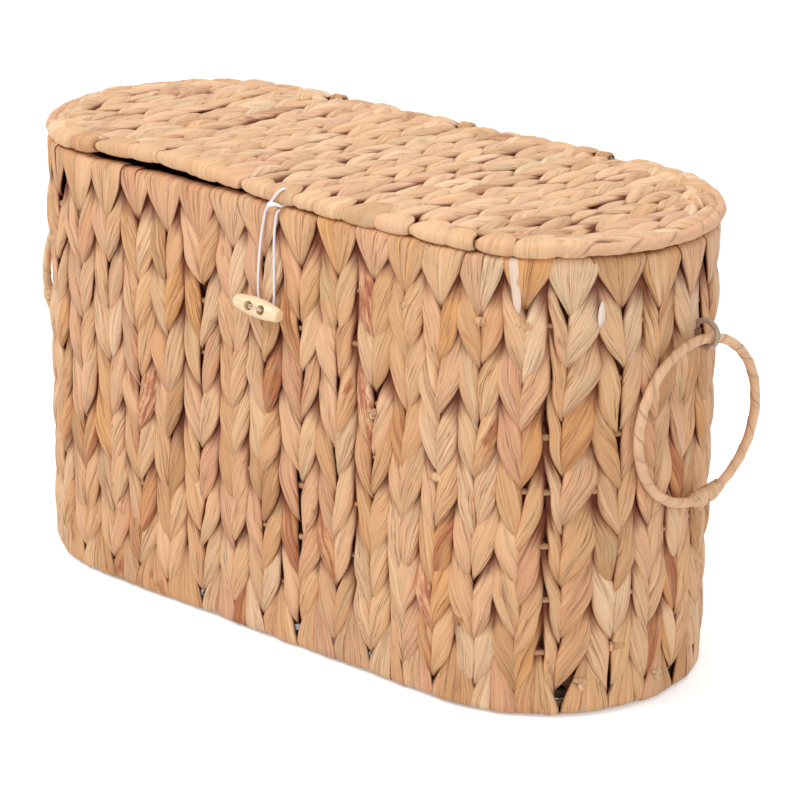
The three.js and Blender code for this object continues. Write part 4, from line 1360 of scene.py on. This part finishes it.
def add_handles():
    rng = np.random.default_rng(SEED + 7)
    for name, place in (("right", RIGHT_HANDLE), ("left", LEFT_HANDLE)):
        turn = full_turn(96)
        ring_x, ring_y = place["ring"]
        ring = rows_of(ring_x + RING_RADIUS * np.cos(turn), ring_y, RING_Z + RING_RADIUS * np.sin(turn))
        body = round_cord(ring, RING_WIRE + 0.03 * np.sin(9 * turn), 20, True)
        make_piece(f"ring_{name}_wire", [body], ring_metal, f"ring_{name}",
                   [f"handle_ring_{name}"])

        ends = [(place[end], ring_y, RING_Z) for end in ("upright", "front")]
        path = wound(*ends, (0, 0, 1), RING_TIE_RADIUS, 2.5, 1.15, 0.3)
        strand = round_cord(path, 0.56 + 0.05 * np.sin(np.arange(len(path)) / 2.3), 10)
        along = strand[3][:, 1]
        # The third form column paints shade over the tie: a quarter throughout, half in short bands along it
        form = rows_of(0.5 * strand[3][:, 0], along, 0.25 + 0.25 * (np.sin(along * 2.2) > 0.6))
        tie = (strand[0], strand[1], (0.3, 0.2, 0.02), form)
        make_piece(f"ring_tie_{name}", [tie], leaf, "root", [f"handle_ring_tie_{name}"])

        circle = hoop_path(place, full_turn(440))
        hoop = wrapped_tube(circle, HOOP_GIRTH, HOOP_STEP, HOOP_WRAP, rng, rng.uniform(0.3, 0.55, 3),
                            closed=True, seed=(1.0, 0.0, 0.0), lumps=0.1)
        make_piece(f"hoop_{name}", [hoop], strip, f"handle_{name}", [f"handle_hoop_{name}"])

        angles = place["binding"] + np.linspace(-BINDING_HALF, BINDING_HALF, 50)
        arc = hoop_path(place, angles)
        girth = keyed(BINDING_GIRTH, 1, np.linspace(0, 1, 50))
        sleeve = wrapped_tube(arc, girth, 0.6, BINDING_WRAP, rng, rng.uniform(0.25, 0.6, 3),
                              seed=(1.0, 0.0, 0.0), seam_shade=0.8)
        make_piece(f"binding_{name}", [sleeve], strip, f"handle_{name}",
                   [f"handle_binding_{name}"])


# The wires that stay as the part has them
def coat_wires():
    names = ["base_rim_wire", "top_rim_wire"]
    names += [f"upright_wire_{i + 1}" for i in range(10)]
    names += [f"base_wire_{i + 1}" for i in range(3)]
    for name in names:
        for place in bpy.data.objects[name].material_slots:
            place.material = wire


# Light, floor and world
FLOOR_HALF = 14.0
FLOOR_Z = -0.0006
FLOOR_COLOUR = (0.86, 0.86, 0.87, 1)
FLOOR_GLOW = 0.34
WORLD_STRENGTH = 0.62
WHITE = (1, 1, 1, 1)


def add_floor():
    """A pale floor that looks a little brighter than it lights the basket."""
    corners = [(x * FLOOR_HALF, y * FLOOR_HALF, 0) for x, y in ((-1, -1), (1, -1), (1, 1), (-1, 1))]
    mesh = bpy.data.meshes.new("floor")
    mesh.from_pydata(corners, [], [(0, 1, 2, 3)])
    floor = placed("floor", mesh)
    floor.location.z = FLOOR_Z
    n = Nodes("floor")
    pale = n.surface({"Base Color": FLOOR_COLOUR, "Roughness": 0.9, "Specular IOR Level": 0.1})
    mesh.materials.append(pale)
    ray = n.add("ShaderNodeLightPath").outputs
    seen = n.math("MAXIMUM", ray["Is Glossy Ray"], ray["Is Transmission Ray"])
    seen = n.math("MAXIMUM", ray["Is Camera Ray"], seen)
    glow = n.add("ShaderNodeEmission", {"Color": WHITE, "Strength": n.times(seen, FLOOR_GLOW)})
    both = n.add("ShaderNodeAddShader", {0: n.shader.outputs[0], 1: glow.outputs[0]})
    n.feed(n.output.inputs["Surface"], both.outputs[0])


# Each lamp's name, place, target, size and power
LAMPS = [("key", (-0.9, -1.6, 2.3), (0, 0, 0.1), 1.0, 38), ("fill", (1.9, -0.9, 1.1), (0, 0, 0.12), 1.6, 10),
         ("top", (0.3, 0.6, 2.4), (0, 0, 0.2), 1.8, 16)]


def add_lamp(name, place, target, size, watts):
    data = bpy.data.lights.new(name, "AREA")
    data.shape = "DISK"
    data.size = size
    data.energy = watts
    lamp = placed(name, data)
    lamp.location = place
    lamp.rotation_euler = (Vector(target) - Vector(place)).to_track_quat("-Z", "Y").to_euler()


def add_world():
    world = bpy.data.worlds.new("studio")
    world.use_nodes = True
    background = world.node_tree.nodes["Background"]
    background.inputs["Color"].default_value = WHITE
    background.inputs["Strength"].default_value = WORLD_STRENGTH
    bpy.context.scene.world = world


# Build
BUILDERS = [weave_body, wind_hoops, small_things, weave_lid, wrap_lid_rim, wire_lid, weave_base, tie_hinges,
            add_toggle, add_thread, add_elastic, add_handles, coat_wires, add_floor, add_world]
for build in BUILDERS:
    build()
for lamp in LAMPS:
    add_lamp(*lamp)

bpy.context.scene.view_settings.view_transform = "Standard"

bpy.context.view_layer.update()
